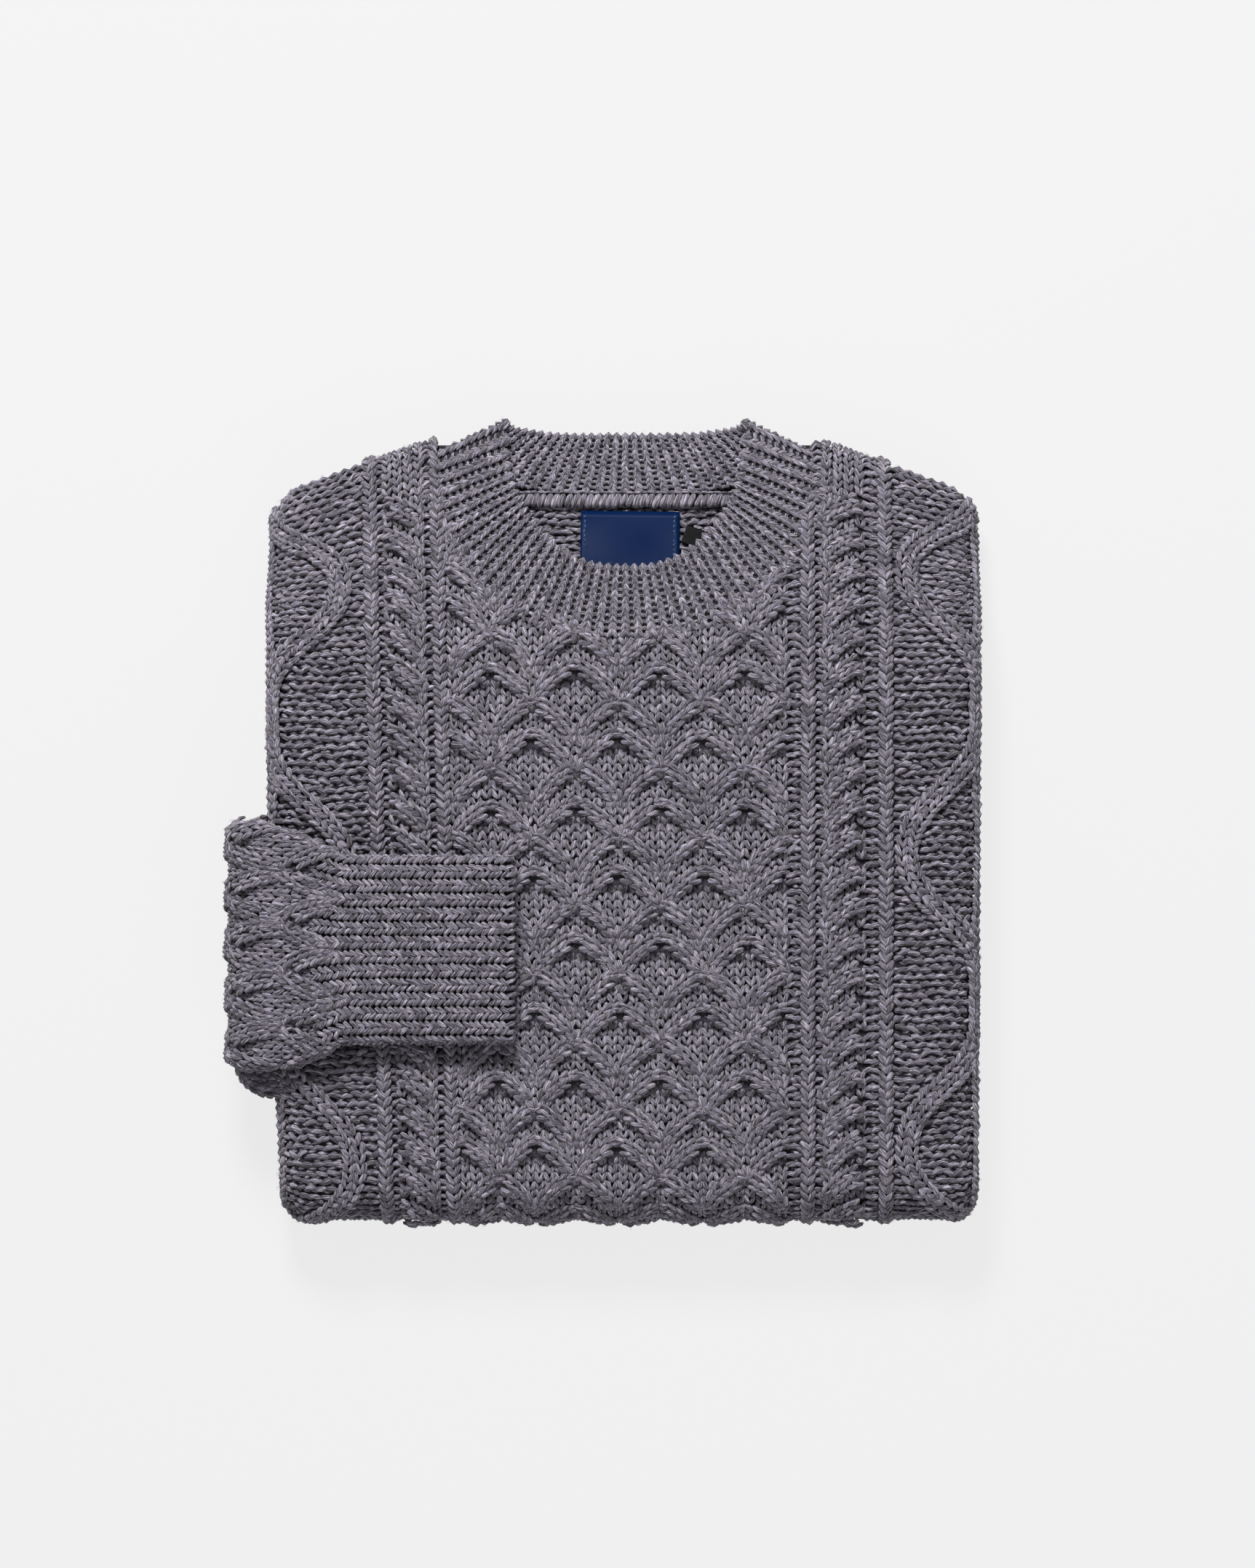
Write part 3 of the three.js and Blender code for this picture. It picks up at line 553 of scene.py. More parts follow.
# %% Arches over a ground
class Scales:
    """Arches like the scales of a fish, each two halves wide.

    foot is the share of a half at which a leg stands upright, spread is how far the two wales
    of a leg lie from its middle, dip is how deep the ground sinks below an arch, and proud
    lifts the whole arch.
    """

    SOFT, ROUND = 0.05, 1.2  # how blunt the top is, and how full the shoulders are

    def __init__(self, left, right, half, rise, tops, foot=0.88, spread=1.55, dip=3.0, proud=0.0):
        self.left, self.right, self.half, self.rise, self.tops = left, right, half, rise, tops
        self.foot, self.spread, self.dip, self.proud = foot, spread, dip, proud

    def drop(self, share):
        """How far below its top an arch is, at a share of its half"""
        blunt = math.sqrt(self.SOFT)
        soft = (np.sqrt(share**2 + self.SOFT) - blunt) / (math.sqrt(1 + self.SOFT) - blunt)
        full = (1 - np.minimum(soft / self.foot, 1) ** self.ROUND) ** (1 / self.ROUND)
        return self.rise * (1 - full)

    def first(self, shifted):
        return self.left + (0 if shifted else self.half)

    def height(self, a, top, shifted):
        x = (a - self.first(shifted) + self.half) % (2 * self.half) - self.half
        return top - self.drop(x / self.half)

    def between(self, a, b):
        """How far up the next arch is and how far down the last one"""
        above, below = np.full(np.shape(a), FAR), np.full(np.shape(a), FAR)
        for top, shifted in self.tops:
            gap = self.height(a, top, shifted) - b
            above = np.where(gap > 0, np.minimum(above, gap), above)
            below = np.where(gap <= 0, np.minimum(below, -gap), below)
        return above, below

    def middles(self, rows):
        """The middle of the next arch above each row, and of the arches beside it"""
        tops = np.array([top for top, _ in self.tops])
        shifted = np.array([shift for _, shift in self.tops])
        ahead = np.where(tops[None] >= rows[:, None] - 1, tops[None], np.inf).argmin(1)
        first = self.left + np.where(shifted[ahead], 0, self.half)
        return [first + 2 * self.half * k for k in range(7)]

    def leg(self, wale, row):
        """The path of one wale of a leg, from below its foot to just past the top"""
        t = np.linspace(-0.25, 1.07, 67)
        x = -self.half * np.minimum(1 - t, self.foot)
        y = -self.drop(1 - t) - 14.0 * np.maximum(1 - self.foot - t, 0)
        heading = unit(np.gradient(np.column_stack([x, y]), axis=0))
        x, y = x - heading[:, 1] * wale * self.spread, y + heading[:, 0] * wale * self.spread
        x = np.maximum(x, -self.half + 1.5 - 0.9 * wale)
        lift = -1.5 + 2.7 * ease(-0.15, 0.2, t) + (0.8 - 0.75 * wale) * ease(0.3, 0.8, t)
        lift = lift - 2.2 * ease(0.99, 1.07, t) + self.proud * ease(-0.1, 0.3, t)
        return evenly(np.column_stack([x, y, lift]), row)

    def knit(self, knitting, row, width, radius, skew=lambda a, b: a):
        for top, shifted in self.tops:
            for middle in np.arange(self.first(shifted), self.right + 1, 2 * self.half):
                shake = random.normal(0, 0.5, 2)
                for side in (-1, 1):
                    if self.left - 1 < middle + side * self.half < self.right + 1:
                        for wale in (-1, 1):
                            path = self.leg(wale, row) * [-side, 1, 1]
                            path = path + [middle + shake[0], top + shake[1], 0.2 * side]
                            path[:, 0] = skew(path[:, 0], path[:, 1])
                            knitting.wale(path, width, radius)

    def ground(self, knitting, wales, rows, row, width, radius, skew=lambda a, b: a):
        for a in self.left + (self.right - self.left) * (np.arange(wales) + 0.5) / wales:
            places = np.full(len(rows), a)
            above, below = self.between(places, rows)
            near = 1 - np.minimum.reduce([np.abs(places - c) for c in self.middles(rows)]) / self.half
            up_to_arch = below / (above + below)
            lift = -0.3 - self.dip * ease(0.4, 0.9, up_to_arch) * ease(0.2, 0.8, near)
            path = np.column_stack([skew(places, rows), rows, lift])
            clear = (above[:-1] > 2.6) & (below[:-1] > 1.8)
            knitting.wale(path, width, radius, shown=clear)


# %% [markdown]
# Seen from left to right the front has a diamond, a rib, a rope, a rib, the honeycomb of
# sixteen strands, and the same again in mirror image. The places are kept in short tables, so
# each panel can be moved alone. The left side leans a little, because the cloth was folded
# slightly askew.

# %% Where the panels of the front lie
LEAN, LEAN_FROM = 0.026, 44.0
HONEYCOMB_LEFT, STRAND_WIDTH = -74.7, 10.21
RIBS = [-110.2, -77.8, 98.4, 136.0]
ROPES = [
    {"left": -104.2, "wide": 20.0, "leans_left": True},
    {"left": 105.4, "wide": 21.0, "leans_left": False},
]
PURL_COLUMNS = [-105.6, -82.6, 90.4, 93.6, 103.2, 127.6, 131.0]
GROUNDS = [{"from": -193.0, "to": -114.0}, {"from": 139.8, "to": 212.0}]
DIAMONDS = [{"edge": -162.0, "reach": 37.0, "peak": 118.0}, {"edge": 182.0, "reach": -36.0, "peak": 125.5}]
DIAMOND_PITCH, DIAMOND_SHARP = 142.0, 3.4


def lean(a, b):
    return a + np.where(a < 0, 1, 0) * LEAN * (LEAN_FROM - b) * ease(-20, -70, a)


def diamond_path(diamond, b):
    swing = np.abs(np.cos(math.pi * (b - diamond["peak"]) / DIAMOND_PITCH)) ** DIAMOND_SHARP
    return diamond["edge"] + diamond["reach"] * (1 - (1 - swing) ** 1.25)


def neck_line():
    """The band's seam on the front, from its middle to the shoulder"""
    half = closed_curve(BAND[:, :2])[: SHOULDER_STEP * CURVE_STEPS + 1]
    half = half[half[:, 0] < 92]
    return half[np.argsort(half[:, 0])]


NECK_LINE = neck_line()
NECK_EASE = 4.0  # how far the front runs in under the band


def seam_at(a):
    return np.interp(np.abs(a - NECK_X), NECK_LINE[:, 0], NECK_LINE[:, 1], right=400)


def outside_neck(a, b):
    return (b < seam_at(a) + NECK_EASE) & (b < TOP_B - 4)


lowest, highest = (round(float(NECK_LINE[k, 1])) for k in (0, -1))
print("the neck is cut", lowest, "to", highest, "mm above the middle")

# %% [markdown]
# ## The cloth under the stitches
#
# Between stitches one looks into the depth of the cloth. A shell under them closes the gaps
# and keeps the light out. It is a grid of places, thickened inwards: the outer skin lies just
# under the stitches and the inner one follows it. The body's shell is one piece round the
# fold. A boolean opens it at the neck, because the seam's curve doesn't follow the grid.

# %% Shells of cloth
def shell(name, grids, ring):
    shape = bmesh.new()
    layers = [[[shape.verts.new(p * MM) for p in row] for row in grid + SHIFT] for grid in grids]
    rows, columns = len(layers[0]), len(layers[0][0])
    across = columns if ring else columns - 1
    for k, layer in enumerate(layers):
        for i in range(rows - 1):
            for j in range(across):
                n = (j + 1) % columns
                corners = [layer[i][j], layer[i][n], layer[i + 1][n], layer[i + 1][j]]
                shape.faces.new(corners if k == 0 else corners[::-1])
    outer, inner = layers
    for i in (0, rows - 1):
        for j in range(across):
            n = (j + 1) % columns
            shape.faces.new([outer[i][j], inner[i][j], inner[i][n], outer[i][n]])
    if not ring:
        for j in (0, columns - 1):
            for i in range(rows - 1):
                shape.faces.new([outer[i][j], inner[i][j], inner[i + 1][j], outer[i + 1][j]])
    bmesh.ops.recalc_face_normals(shape, faces=shape.faces)
    if shape.calc_volume(signed=True) < 0:
        bmesh.ops.reverse_faces(shape, faces=shape.faces)
    for face in shape.faces:
        face.smooth = True
    mesh = bpy.data.meshes.new(name)
    shape.to_mesh(mesh)
    shape.free()
    thing = bpy.data.objects.new(name, mesh)
    SCENE.collection.objects.link(thing)
    print(f"{name}: {len(mesh.polygons)} faces")
    return thing


# %% The body's shell
FLAT_LEFT, FLAT_RIGHT = -146.0, 166.0


def body_grid(lift):
    half_turn = math.pi * ROLL
    rolls = np.linspace(0, half_turn, 13)
    flats = np.linspace(FLAT_LEFT, FLAT_RIGHT, 40)
    across = np.concatenate([FLAT_LEFT - rolls[:0:-1], flats, FLAT_RIGHT + rolls[1:]])
    along = np.concatenate([np.linspace(TOP_B, END_Y, 8), np.linspace(END_Y, FOLD_Y, 50)[1:],
                            np.linspace(FOLD_Y, UNDER_B, 16)[1:], np.linspace(UNDER_B, LOWER_B, 20)[1:]])
    a, b = np.meshgrid(across, along)
    y = np.clip(b, FOLD_Y, END_Y)
    left = np.interp(y, SIDE_Y, LEFT_X) + ROLL
    right = np.interp(y, SIDE_Y, RIGHT_X) - ROLL
    share = (a - FLAT_LEFT) / (FLAT_RIGHT - FLAT_LEFT)
    inside = left + (right - left) * share
    a = np.where(share < 0, left + (a - FLAT_LEFT), np.where(share > 1, right + (a - FLAT_RIGHT), inside))
    top = package(a, b, lift)
    flat = np.linspace(0, 1, 12)[1:-1]
    last, first = top[:, -1:], top[:, :1]
    under = last + (first - last) * flat[None, :, None]
    return np.concatenate([top, under], 1)


def cut_neck(thing):
    line = np.array([[-x, y] for x, y in NECK_LINE[::-8]] + [[x, y] for x, y in NECK_LINE[::8]])
    line[:, 0] += NECK_X
    loop = np.vstack([line, [[NECK_X + 91.6, 230], [NECK_X - 91.6, 230]]])
    shape = bmesh.new()
    base = [shape.verts.new(((x + SHIFT[0]) * MM, (y + NECK_EASE + SHIFT[1]) * MM, 0.020)) for x, y in loop]
    face = shape.faces.new(base)
    raised = bmesh.ops.extrude_face_region(shape, geom=[face])["geom"]
    corners = [part for part in raised if isinstance(part, bmesh.types.BMVert)]
    bmesh.ops.translate(shape, vec=(0, 0, 0.06), verts=corners)
    bmesh.ops.remove_doubles(shape, verts=shape.verts, dist=1e-6)
    bmesh.ops.recalc_face_normals(shape, faces=shape.faces)
    mesh = bpy.data.meshes.new("neck_cutter")
    shape.to_mesh(mesh)
    shape.free()
    cutter = bpy.data.objects.new("neck_cutter", mesh)
    SCENE.collection.objects.link(cutter)
    cut = thing.modifiers.new("neck", "BOOLEAN")
    cut.operation, cut.solver, cut.object = "DIFFERENCE", "EXACT", cutter
    cut.use_self = True
    graph = bpy.context.evaluated_depsgraph_get()
    made = bpy.data.meshes.new_from_object(thing.evaluated_get(graph))
    thing.modifiers.clear()
    thing.data = made
    bpy.data.objects.remove(cutter)


body_cloth = shell("body_cloth", [body_grid(-1.9), body_grid(-4.9)], ring=True)
cut_neck(body_cloth)
print("body_cloth after the neck is cut:", len(body_cloth.data.polygons), "faces")

# %% [markdown]
# The sleeve, the cuff, the neckband and the back of the neck are shells of the same kind. The
# first three close on themselves as rings, and the back is a plain patch.

# %% Sleeve, band and back
BACK_DEPTH = 9.9  # the back of the neck lies this far below the front


def arm_grid(lift, low, high):
    across = np.linspace(-1, 1, 25)
    along = np.arange(low, high, 3.0)
    a, b = np.meshgrid(across, np.append(along, high))
    top = arm(a, b, lift)
    under = arm(a[:, ::-1], b, 0)[:, 1:-1]
    middle = arm(a[:, ::-1], b, -ARM_HALF)[:, 1:-1]
    return np.concatenate([top, middle + (middle - under) * (ARM_HALF + lift) / ARM_HALF], 1)


def band_grid(lift):
    around = np.linspace(0, BAND_RIBS, 4 * BAND_RIBS, endpoint=False)
    a, b = np.meshgrid(around, np.linspace(0, BAND_ROWS, 7))
    return band(a, b, lift)


def back(a, b, lift):
    a, b, lift = np.broadcast_arrays(*(np.asarray(v, float) for v in (a, b, lift)))
    return np.stack([a + NECK_X, b, top_height(b) - BACK_DEPTH + lift], -1)


def back_grid(lift):
    y = np.linspace(163, 94, 14)
    half = np.interp(y, NECK_LINE[:, 1], NECK_LINE[:, 0]) - 2 - 0.25 * np.maximum(y - 158, 0)
    a = np.linspace(-1, 1, 16)[None] * half[:, None]
    return back(a, y[:, None], lift)


sleeve_skins = [arm_grid(lift, CUFF_LENGTH - 1, ARM_LENGTH) for lift in (-1.6, -4.0)]
sleeve_cloth = shell("sleeve_cloth", sleeve_skins, ring=True)
cuff_skins = [arm_grid(lift, 0.6, CUFF_LENGTH) for lift in (-1.4, -4.0)]
cuff_cloth = shell("cuff_cloth", cuff_skins, ring=True)
band_cloth = shell("band_cloth", [band_grid(-0.9), band_grid(-2.8)], ring=True)
back_cloth = shell("back_cloth", [back_grid(-1.2), back_grid(-3.0)], ring=False)

# %% [markdown]
# ## Stitches of the front
#
# Under the neckband the front dips, so its stitches end below the seam. The honeycomb's arches
# and its ground are two pieces, because together they have more faces than one piece should.
# The ropes share a piece with the ribs beside them and with the columns of purl stitches,
# which are the dark gutters between the cables.

# %% The honeycomb, the ropes and the ribs
UNDER_BAND = 2.4  # how deep the front dips under the neckband


def front(a, b, lift):
    past = np.asarray(b) - seam_at(np.asarray(a))
    return package(a, b, lift - UNDER_BAND * ease(-2.0, 4.0, past))


HONEYCOMB = Scales(HONEYCOMB_LEFT, HONEYCOMB_LEFT + 16 * STRAND_WIDTH, 2 * STRAND_WIDTH, 14.2,
                   [(b, (k + 1) % 4 >= 2) for k, b in BODY_BANDS])


def knit_honeycomb():
    arches, ground = Knitting(front, outside_neck), Knitting(front, outside_neck)
    HONEYCOMB.knit(arches, 1.15 * ROW, 4.7, 1.38, lean)
    HONEYCOMB.ground(ground, 32, front_rows(), ROW, 5.0, 1.15, lean)
    return arches.make("honeycomb_arches", COARSE), ground.make("honeycomb_ground", COARSE, 0.3)


def knit_rope(knitting, rope):
    left, right = rope["left"], rope["left"] + rope["wide"]
    tops = [(b + 2.0, rope["leans_left"]) for _, b in BODY_BANDS if b < 162]
    crossings = Scales(left, right, rope["wide"] - 2.0, 13.5, tops,
                       foot=0.97, spread=2.3, dip=1.0, proud=0.8)
    crossings.knit(knitting, ROW, 4.9, 1.35, lean)
    crossings.ground(knitting, 4, front_rows(), ROW, 4.8, 1.15, lean)


def knit_ropes_and_ribs():
    knitting = Knitting(front, outside_neck)
    rows = front_rows()
    for rope in ROPES:
        knit_rope(knitting, rope)
    for a in RIBS:
        path = np.column_stack([lean(np.full(len(rows), a), rows), rows, np.full(len(rows), 0.9)])
        knitting.wale(path, 6.6, 1.5, RIB_LEGS)
    for a in PURL_COLUMNS:
        knitting.purls(lean(np.full(len(rows), a), rows), rows, -0.5, 4.6, ROW, 1.3)
    return knitting.make("ropes_and_ribs", COARSE)


honeycomb_arches, honeycomb_ground = knit_honeycomb()
ropes_and_ribs = knit_ropes_and_ribs()

# %% [markdown]
# The sides are reverse stockinette: wavy rows of purl bows, each row half a bow on from the
# last. A strand of two knit wales runs over them in a zigzag, and one more goes along the
# folded edge. A power of a cosine gives the zigzag its round peaks and its long legs.

# %% The diamonds
PURL_WIDTH = 5.2
UNDER_STRAND = 3.6  # the ground is left out this near to the middle of a strand


def knit_ground(name, ground, diamond):
    knitting = Knitting(front, outside_neck)
    rows = front_rows()
    columns = np.arange(ground["from"], ground["to"], PURL_WIDTH)
    a, b = np.meshgrid(columns, rows)
    a = a + PURL_WIDTH / 2 * (np.arange(len(rows)) % 2)[:, None]
    a = lean(a + 0.8 * np.sin(b / 9.0), b).ravel()
    b = b.ravel() + 0.5 * np.sin(a / 5.0)
    clear = np.abs(a - lean(diamond_path(diamond, b), b)) > UNDER_STRAND
    knitting.purls(a[clear], b[clear], -0.8, PURL_WIDTH, ROW, 1.33)
    return knitting.make(name, COARSE)


def knit_diamond(name, diamond):
    knitting = Knitting(front, outside_neck)
    b = np.arange(front_rows()[0], front_rows()[-1], 0.5)
    zigzag = diamond_path(diamond, b)
    along_edge = diamond["edge"] - 0.12 * (zigzag - diamond["edge"])
    for a, rise in ((zigzag, 1.3), (along_edge, 1.1)):
        path = evenly(np.column_stack([lean(a, b), b]), ROW * 1.05)
        flat = unit(np.gradient(path, axis=0))
        across = np.stack([flat[:, 1], -flat[:, 0]], -1)
        for side in (-0.5, 0.5):
            wale = np.column_stack([path + across * side * 5.3, np.full(len(path), rise)])
            knitting.wale(wale, 5.8, 1.45)
    return knitting.make(name, MEDIUM)


def knit_lower_edges():
    knitting = Knitting(package)
    b = np.arange(UNDER_B - 320, UNDER_B + 16, ROW)
    for columns in (np.arange(-188, -154, PURL_WIDTH), np.arange(174, 208, PURL_WIDTH)):
        a, b_grid = np.meshgrid(columns, b)
        knitting.purls(a, b_grid, -0.5, PURL_WIDTH * 1.1, ROW, 1.35, feet=False)
    return knitting.make("lower_edges", PLAIN, 0)


ground_left = knit_ground("ground_left", GROUNDS[0], DIAMONDS[0])
ground_right = knit_ground("ground_right", GROUNDS[1], DIAMONDS[1])
diamond_left = knit_diamond("diamond_left", DIAMONDS[0])
diamond_right = knit_diamond("diamond_right", DIAMONDS[1])
lower_edges = knit_lower_edges()

# %% [markdown]
# ## Stitches of the sleeve and the cuff
#
# The sleeve has the same arches as the front, and they draw in to the fourteen ribs of the
# cuff. A rib is one wale laid wide. The cuff's free edge is a row of small loops that turn
# over it. At the sleeve's lower end a few columns of its other side show.

# %% The sleeve and the cuff
ARM_STRANDS = 14
CUFF_ROW = 3.0


def arm_metric(a, b, lift):
    high, low = arm_edges(np.asarray(b, float))
    half = (high - low) / 2 - ARM_HALF
    return arm(a / (half + ARM_HALF * math.pi / 2), b, lift)


def to_arm_metric(spot, b):
    high, low = arm_edges(b)
    half = (high - low) / 2 - ARM_HALF
    return (2 * spot / ARM_STRANDS - 1) * (half + ARM_HALF * math.pi / 2)


def knit_sleeve():
    reach = to_arm_metric(ARM_STRANDS, np.array([120.0]))[0]
    bands = [(109.0 + 25.0 * k, k % 2 == 0) for k in range(4)]
    scales = Scales(-reach, reach, reach / 5, 22.0, bands, spread=2.3, dip=1.4)
    knitting = Knitting(arm_metric)
    scales.knit(knitting, 3.9, 4.3, 1.2)
    rows = np.arange(CUFF_LENGTH + 10, ARM_LENGTH - 2, ROW)
    scales.ground(knitting, 2 * ARM_STRANDS, rows, ROW, 4.4, 1.15)
    return knitting.make("sleeve_stitches", COARSE)


def on_lining(a, b, lift):
    return np.stack([a, b, 46.0 + lift], -1)


def knit_sleeve_lining():
    """The other side of the sleeve shows below it, at the left edge"""
    knitting = Knitting(on_lining)
    edge = np.array([[-176.5, -108.0], [-175.5, -120.0], [-171.5, -128.0],
                     [-163.0, -131.5], [-150.0, -132.0]])
    for inward in np.arange(0.0, 12.0, 2.5):
        line = evenly(edge + [0.9 * inward, inward], 3.8)
        knitting.wale(np.column_stack([line, np.full(len(line), -0.2 * inward)]), 4.6, 1.9)
    return knitting.make("sleeve_lining", COARSE)


def knit_cuff():
    knitting = Knitting(arm_metric)
    for rib in range(ARM_STRANDS):
        rows = np.arange(3.0, CUFF_LENGTH + random.uniform(10, 17), CUFF_ROW)
        a = to_arm_metric(np.full(len(rows), rib + 0.5), rows)
        knitting.wale(np.column_stack([a, rows, np.full(len(rows), 0.4)]), 6.6, 1.25, RIB_LEGS)
    edge = to_arm_metric(np.arange(0.25, ARM_STRANDS, 0.5), np.zeros(2 * ARM_STRANDS))
    loop = [np.stack([edge + s, np.full(len(edge), b), np.full(len(edge), lift)], -1)
            for s, b, lift in ((-0.6, 3.6, 0.3), (0.3, 0.4, 0.6), (0.9, -0.6, -3.4))]
    knitting.add(loop, 1.25)
    return knitting.make("cuff_stitches", MEDIUM)


sleeve_stitches = knit_sleeve()
sleeve_lining = knit_sleeve_lining()
cuff_stitches = knit_cuff()

# %% [markdown]
# ## Stitches of the neck
#
# The band's ribs are placed by their number round the ring, not by millimetres, so they fan
# out at the front by themselves and close up at the corners. The back of the neck is reverse
# stockinette, with a thin chain and a thick rolled seam under the band.

# %% The neckband and its edge
# along the rib in rows, across it in ribs, and up in millimetres
BAND_LEGS = [(-0.35, -0.03, 0.0), (0.3, 0.13, 0.8), (0.95, 0.31, -0.5)]


def knit_band():
    knitting = Knitting(band)
    for rib in range(BAND_RIBS):
        from_corner = abs(min(rib, BAND_RIBS - rib) / BAND_RIBS - BAND_CORNER)
        rows = np.arange(0.0, BAND_ROWS + 0.2 + 3.0 * ease(0.12, 0.0, from_corner), 0.9)
        pitch = np.linalg.norm(band(rib + 0.5, rows, 0) - band(rib - 0.5, rows, 0), axis=-1)
        for side in (-1, 1):
            three = [np.column_stack([rib + side * offset + 0 * rows, rows + share, up + 0 * rows])
                     for share, offset, up in BAND_LEGS]
            knitting.add(three, np.clip(pitch * 0.19, 0.7, 1.25), 0.02)
        groove = [np.column_stack([rib + 0.5 + across + 0 * rows, rows + 0.5, up + 0 * rows])
                  for across, up in ((-0.3, -1.5), (0, -0.2), (0.3, -1.5))]
        knitting.add(groove, np.clip(pitch * 0.15, 0.6, 1.0), 0.02)
        edge = [[[rib - 0.42, 0.5, 0.2]], [[rib, -0.25, -0.8]], [[rib + 0.42, 0.5, 0.2]]]
        knitting.add(np.array(edge), np.clip(pitch[:1] * 0.22, 0.7, 1.4), 0.02)
    return knitting.make("band_stitches", COARSE, 0.3)


band_stitches = knit_band()


# %% The back of the neck
def knit_back():
    knitting = Knitting(back)
    rows = np.arange(98.0, 152.0, ROW)
    for b in rows:
        half = np.interp(b, NECK_LINE[:, 1], NECK_LINE[:, 0]) - 4
        columns = np.arange(-half, half, PURL_WIDTH)
        knitting.purls(columns, np.full(len(columns), b), 0.0, PURL_WIDTH, ROW, 1.2)
    return knitting.make("back_stitches", COARSE, 0)


def knit_seam():
    knitting = Knitting(back)
    places = np.arange(-54.0, 54.0, 3.3)
    roll = [np.stack([places + s, np.full(len(places), b), np.full(len(places), lift)], -1)
            for s, b, lift in ((-1.4, 151.2, 0.9), (0.2, 154.2, 3.6), (1.6, 157.3, 1.2))]
    knitting.add(roll, 1.75)
    chain = [np.stack([places + s, np.full(len(places), b), np.full(len(places), lift)], -1)
             for s, b, lift in ((-1.9, 158.0, 2.6), (0, 158.5, 3.3), (1.9, 157.8, 2.6))]
    knitting.add(chain, 0.75)
    return knitting.make("seam_stitches", FINE, 0)


back_stitches = knit_back()
seam_stitches = knit_seam()

# %% [markdown]
# The label is a small navy piece of satin ribbon with a dashed line of light blue thread at
# its left and right. A black tab lies beside it, a little askew. Both are bare. Satin lies
# nearly flat, so a grid with a slight wave and a real thickness is enough.

# %% Label and tab
def ribbon(name, middle, size, thick, turn, lift):
    shape = bmesh.new()
    bmesh.ops.create_grid(shape, x_segments=16, y_segments=10, size=0.5)
    bmesh.ops.recalc_face_normals(shape, faces=shape.faces)
    uv = shape.loops.layers.uv.new("weave")
    for face in shape.faces:
        for loop in face.loops:
            loop[uv].uv = (loop.vert.co.x * size[0], loop.vert.co.y * size[1])
    for vert in shape.verts:
        x, y = vert.co.x * size[0], vert.co.y * size[1]
        rise = lift + 0.35 * math.sin(x / 9.0 + 1.0) * math.sin(y / 7.0)
        a = middle[0] + x * math.cos(turn) - y * math.sin(turn)
        b = middle[1] + x * math.sin(turn) + y * math.cos(turn)
        vert.co = (back(a, b, rise) + SHIFT) * MM
    solid = bmesh.ops.solidify(shape, geom=shape.faces[:], thickness=thick * MM)
    bmesh.ops.recalc_face_normals(shape, faces=shape.faces)
    for face in shape.faces:
        face.smooth = True
    mesh = bpy.data.meshes.new(name)
    shape.to_mesh(mesh)
    shape.free()
    thing = bpy.data.objects.new(name, mesh)
    SCENE.collection.objects.link(thing)
    print(name, "has", len(solid["geom"]), "new parts of its thickness")
    return thing


label = ribbon("label_satin", (2.2, 134.0), (48.0, 30.0), 0.6, -0.012, 2.5)
size_tab = ribbon("size_ribbon", (32.5, 136.5), (9.0, 9.5), 0.5, -0.35, 2.3)


def dashed_thread():
    knitting = Knitting(back)
    for a in (-19.6, 23.4):
        b = np.arange(121.0, 148.5, 2.3)
        dash = [np.column_stack([np.full(len(b), a) + s * 0.2, b + s, np.full(len(b), 2.45 - 0.3 * abs(s))])
                for s in (-0.8, 0.0, 0.8)]
        knitting.add(dash, 0.33)
    return knitting.make("label_thread", COARSE)


label_thread = dashed_thread()

# %% [markdown]
# ## The yarn
#
# Marl wool is spun from pale and dark fibres, so each bow is streaked along its length and
# neighbours differ a little in tone. A noise laid over the whole sweater would run across the
# stitches. So the pattern reads each bow's own map, along and around the yarn, and stretches
# the noise along it. Two plies twist round each other, and the same noise roughens them. The
# node group gives a colour and a normal, and the shader stays in the material.

# %% Node helpers
def add_node(tree, kind, links=None, **values):
    node = tree.nodes.new(kind)
    for key, value in values.items():
        if key.startswith("in_"):
            socket = node.inputs[int(key[3:])] if key[3:].isdigit() else node.inputs[key[3:]]
            socket.default_value = value
        else:
            setattr(node, key, value)
    for socket, source in (links or {}).items():
        tree.links.new(source, node.inputs[socket])
    return node


def math_node(tree, operation, first, second):
    node = tree.nodes.new("ShaderNodeMath")
    node.operation = operation
    for k, value in enumerate((first, second)):
        if isinstance(value, (int, float)):
            node.inputs[k].default_value = value
        else:
            tree.links.new(value, node.inputs[k])
    return node.outputs[0]


def ramp(tree, source, stops):
    node = tree.nodes.new("ShaderNodeValToRGB")
    node.color_ramp.interpolation = "EASE"
    while len(node.color_ramp.elements) < len(stops):
        node.color_ramp.elements.new(0.5)
    for element, (place, colour) in zip(node.color_ramp.elements, stops):
        element.position = place
        element.color = (*colour, 1)
    tree.links.new(source, node.inputs[0])
    return node.outputs[0]


def multiplied(tree, first, second):
    node = add_node(tree, "ShaderNodeMix", data_type="RGBA", blend_type="MULTIPLY")
    node.inputs["Factor"].default_value = 1.0
    tree.links.new(first, node.inputs["A"])
    tree.links.new(second, node.inputs["B"])
    return node.outputs["Result"]


def new_group(name, inputs, outputs):
    group = bpy.data.node_groups.new(name, "ShaderNodeTree")
    for label_text, kind, value in inputs:
        socket = group.interface.new_socket(label_text, in_out="INPUT", socket_type=kind)
        socket.default_value = value
    for label_text, kind in outputs:
        group.interface.new_socket(label_text, in_out="OUTPUT", socket_type=kind)
    return group, group.nodes.new("NodeGroupInput"), group.nodes.new("NodeGroupOutput")


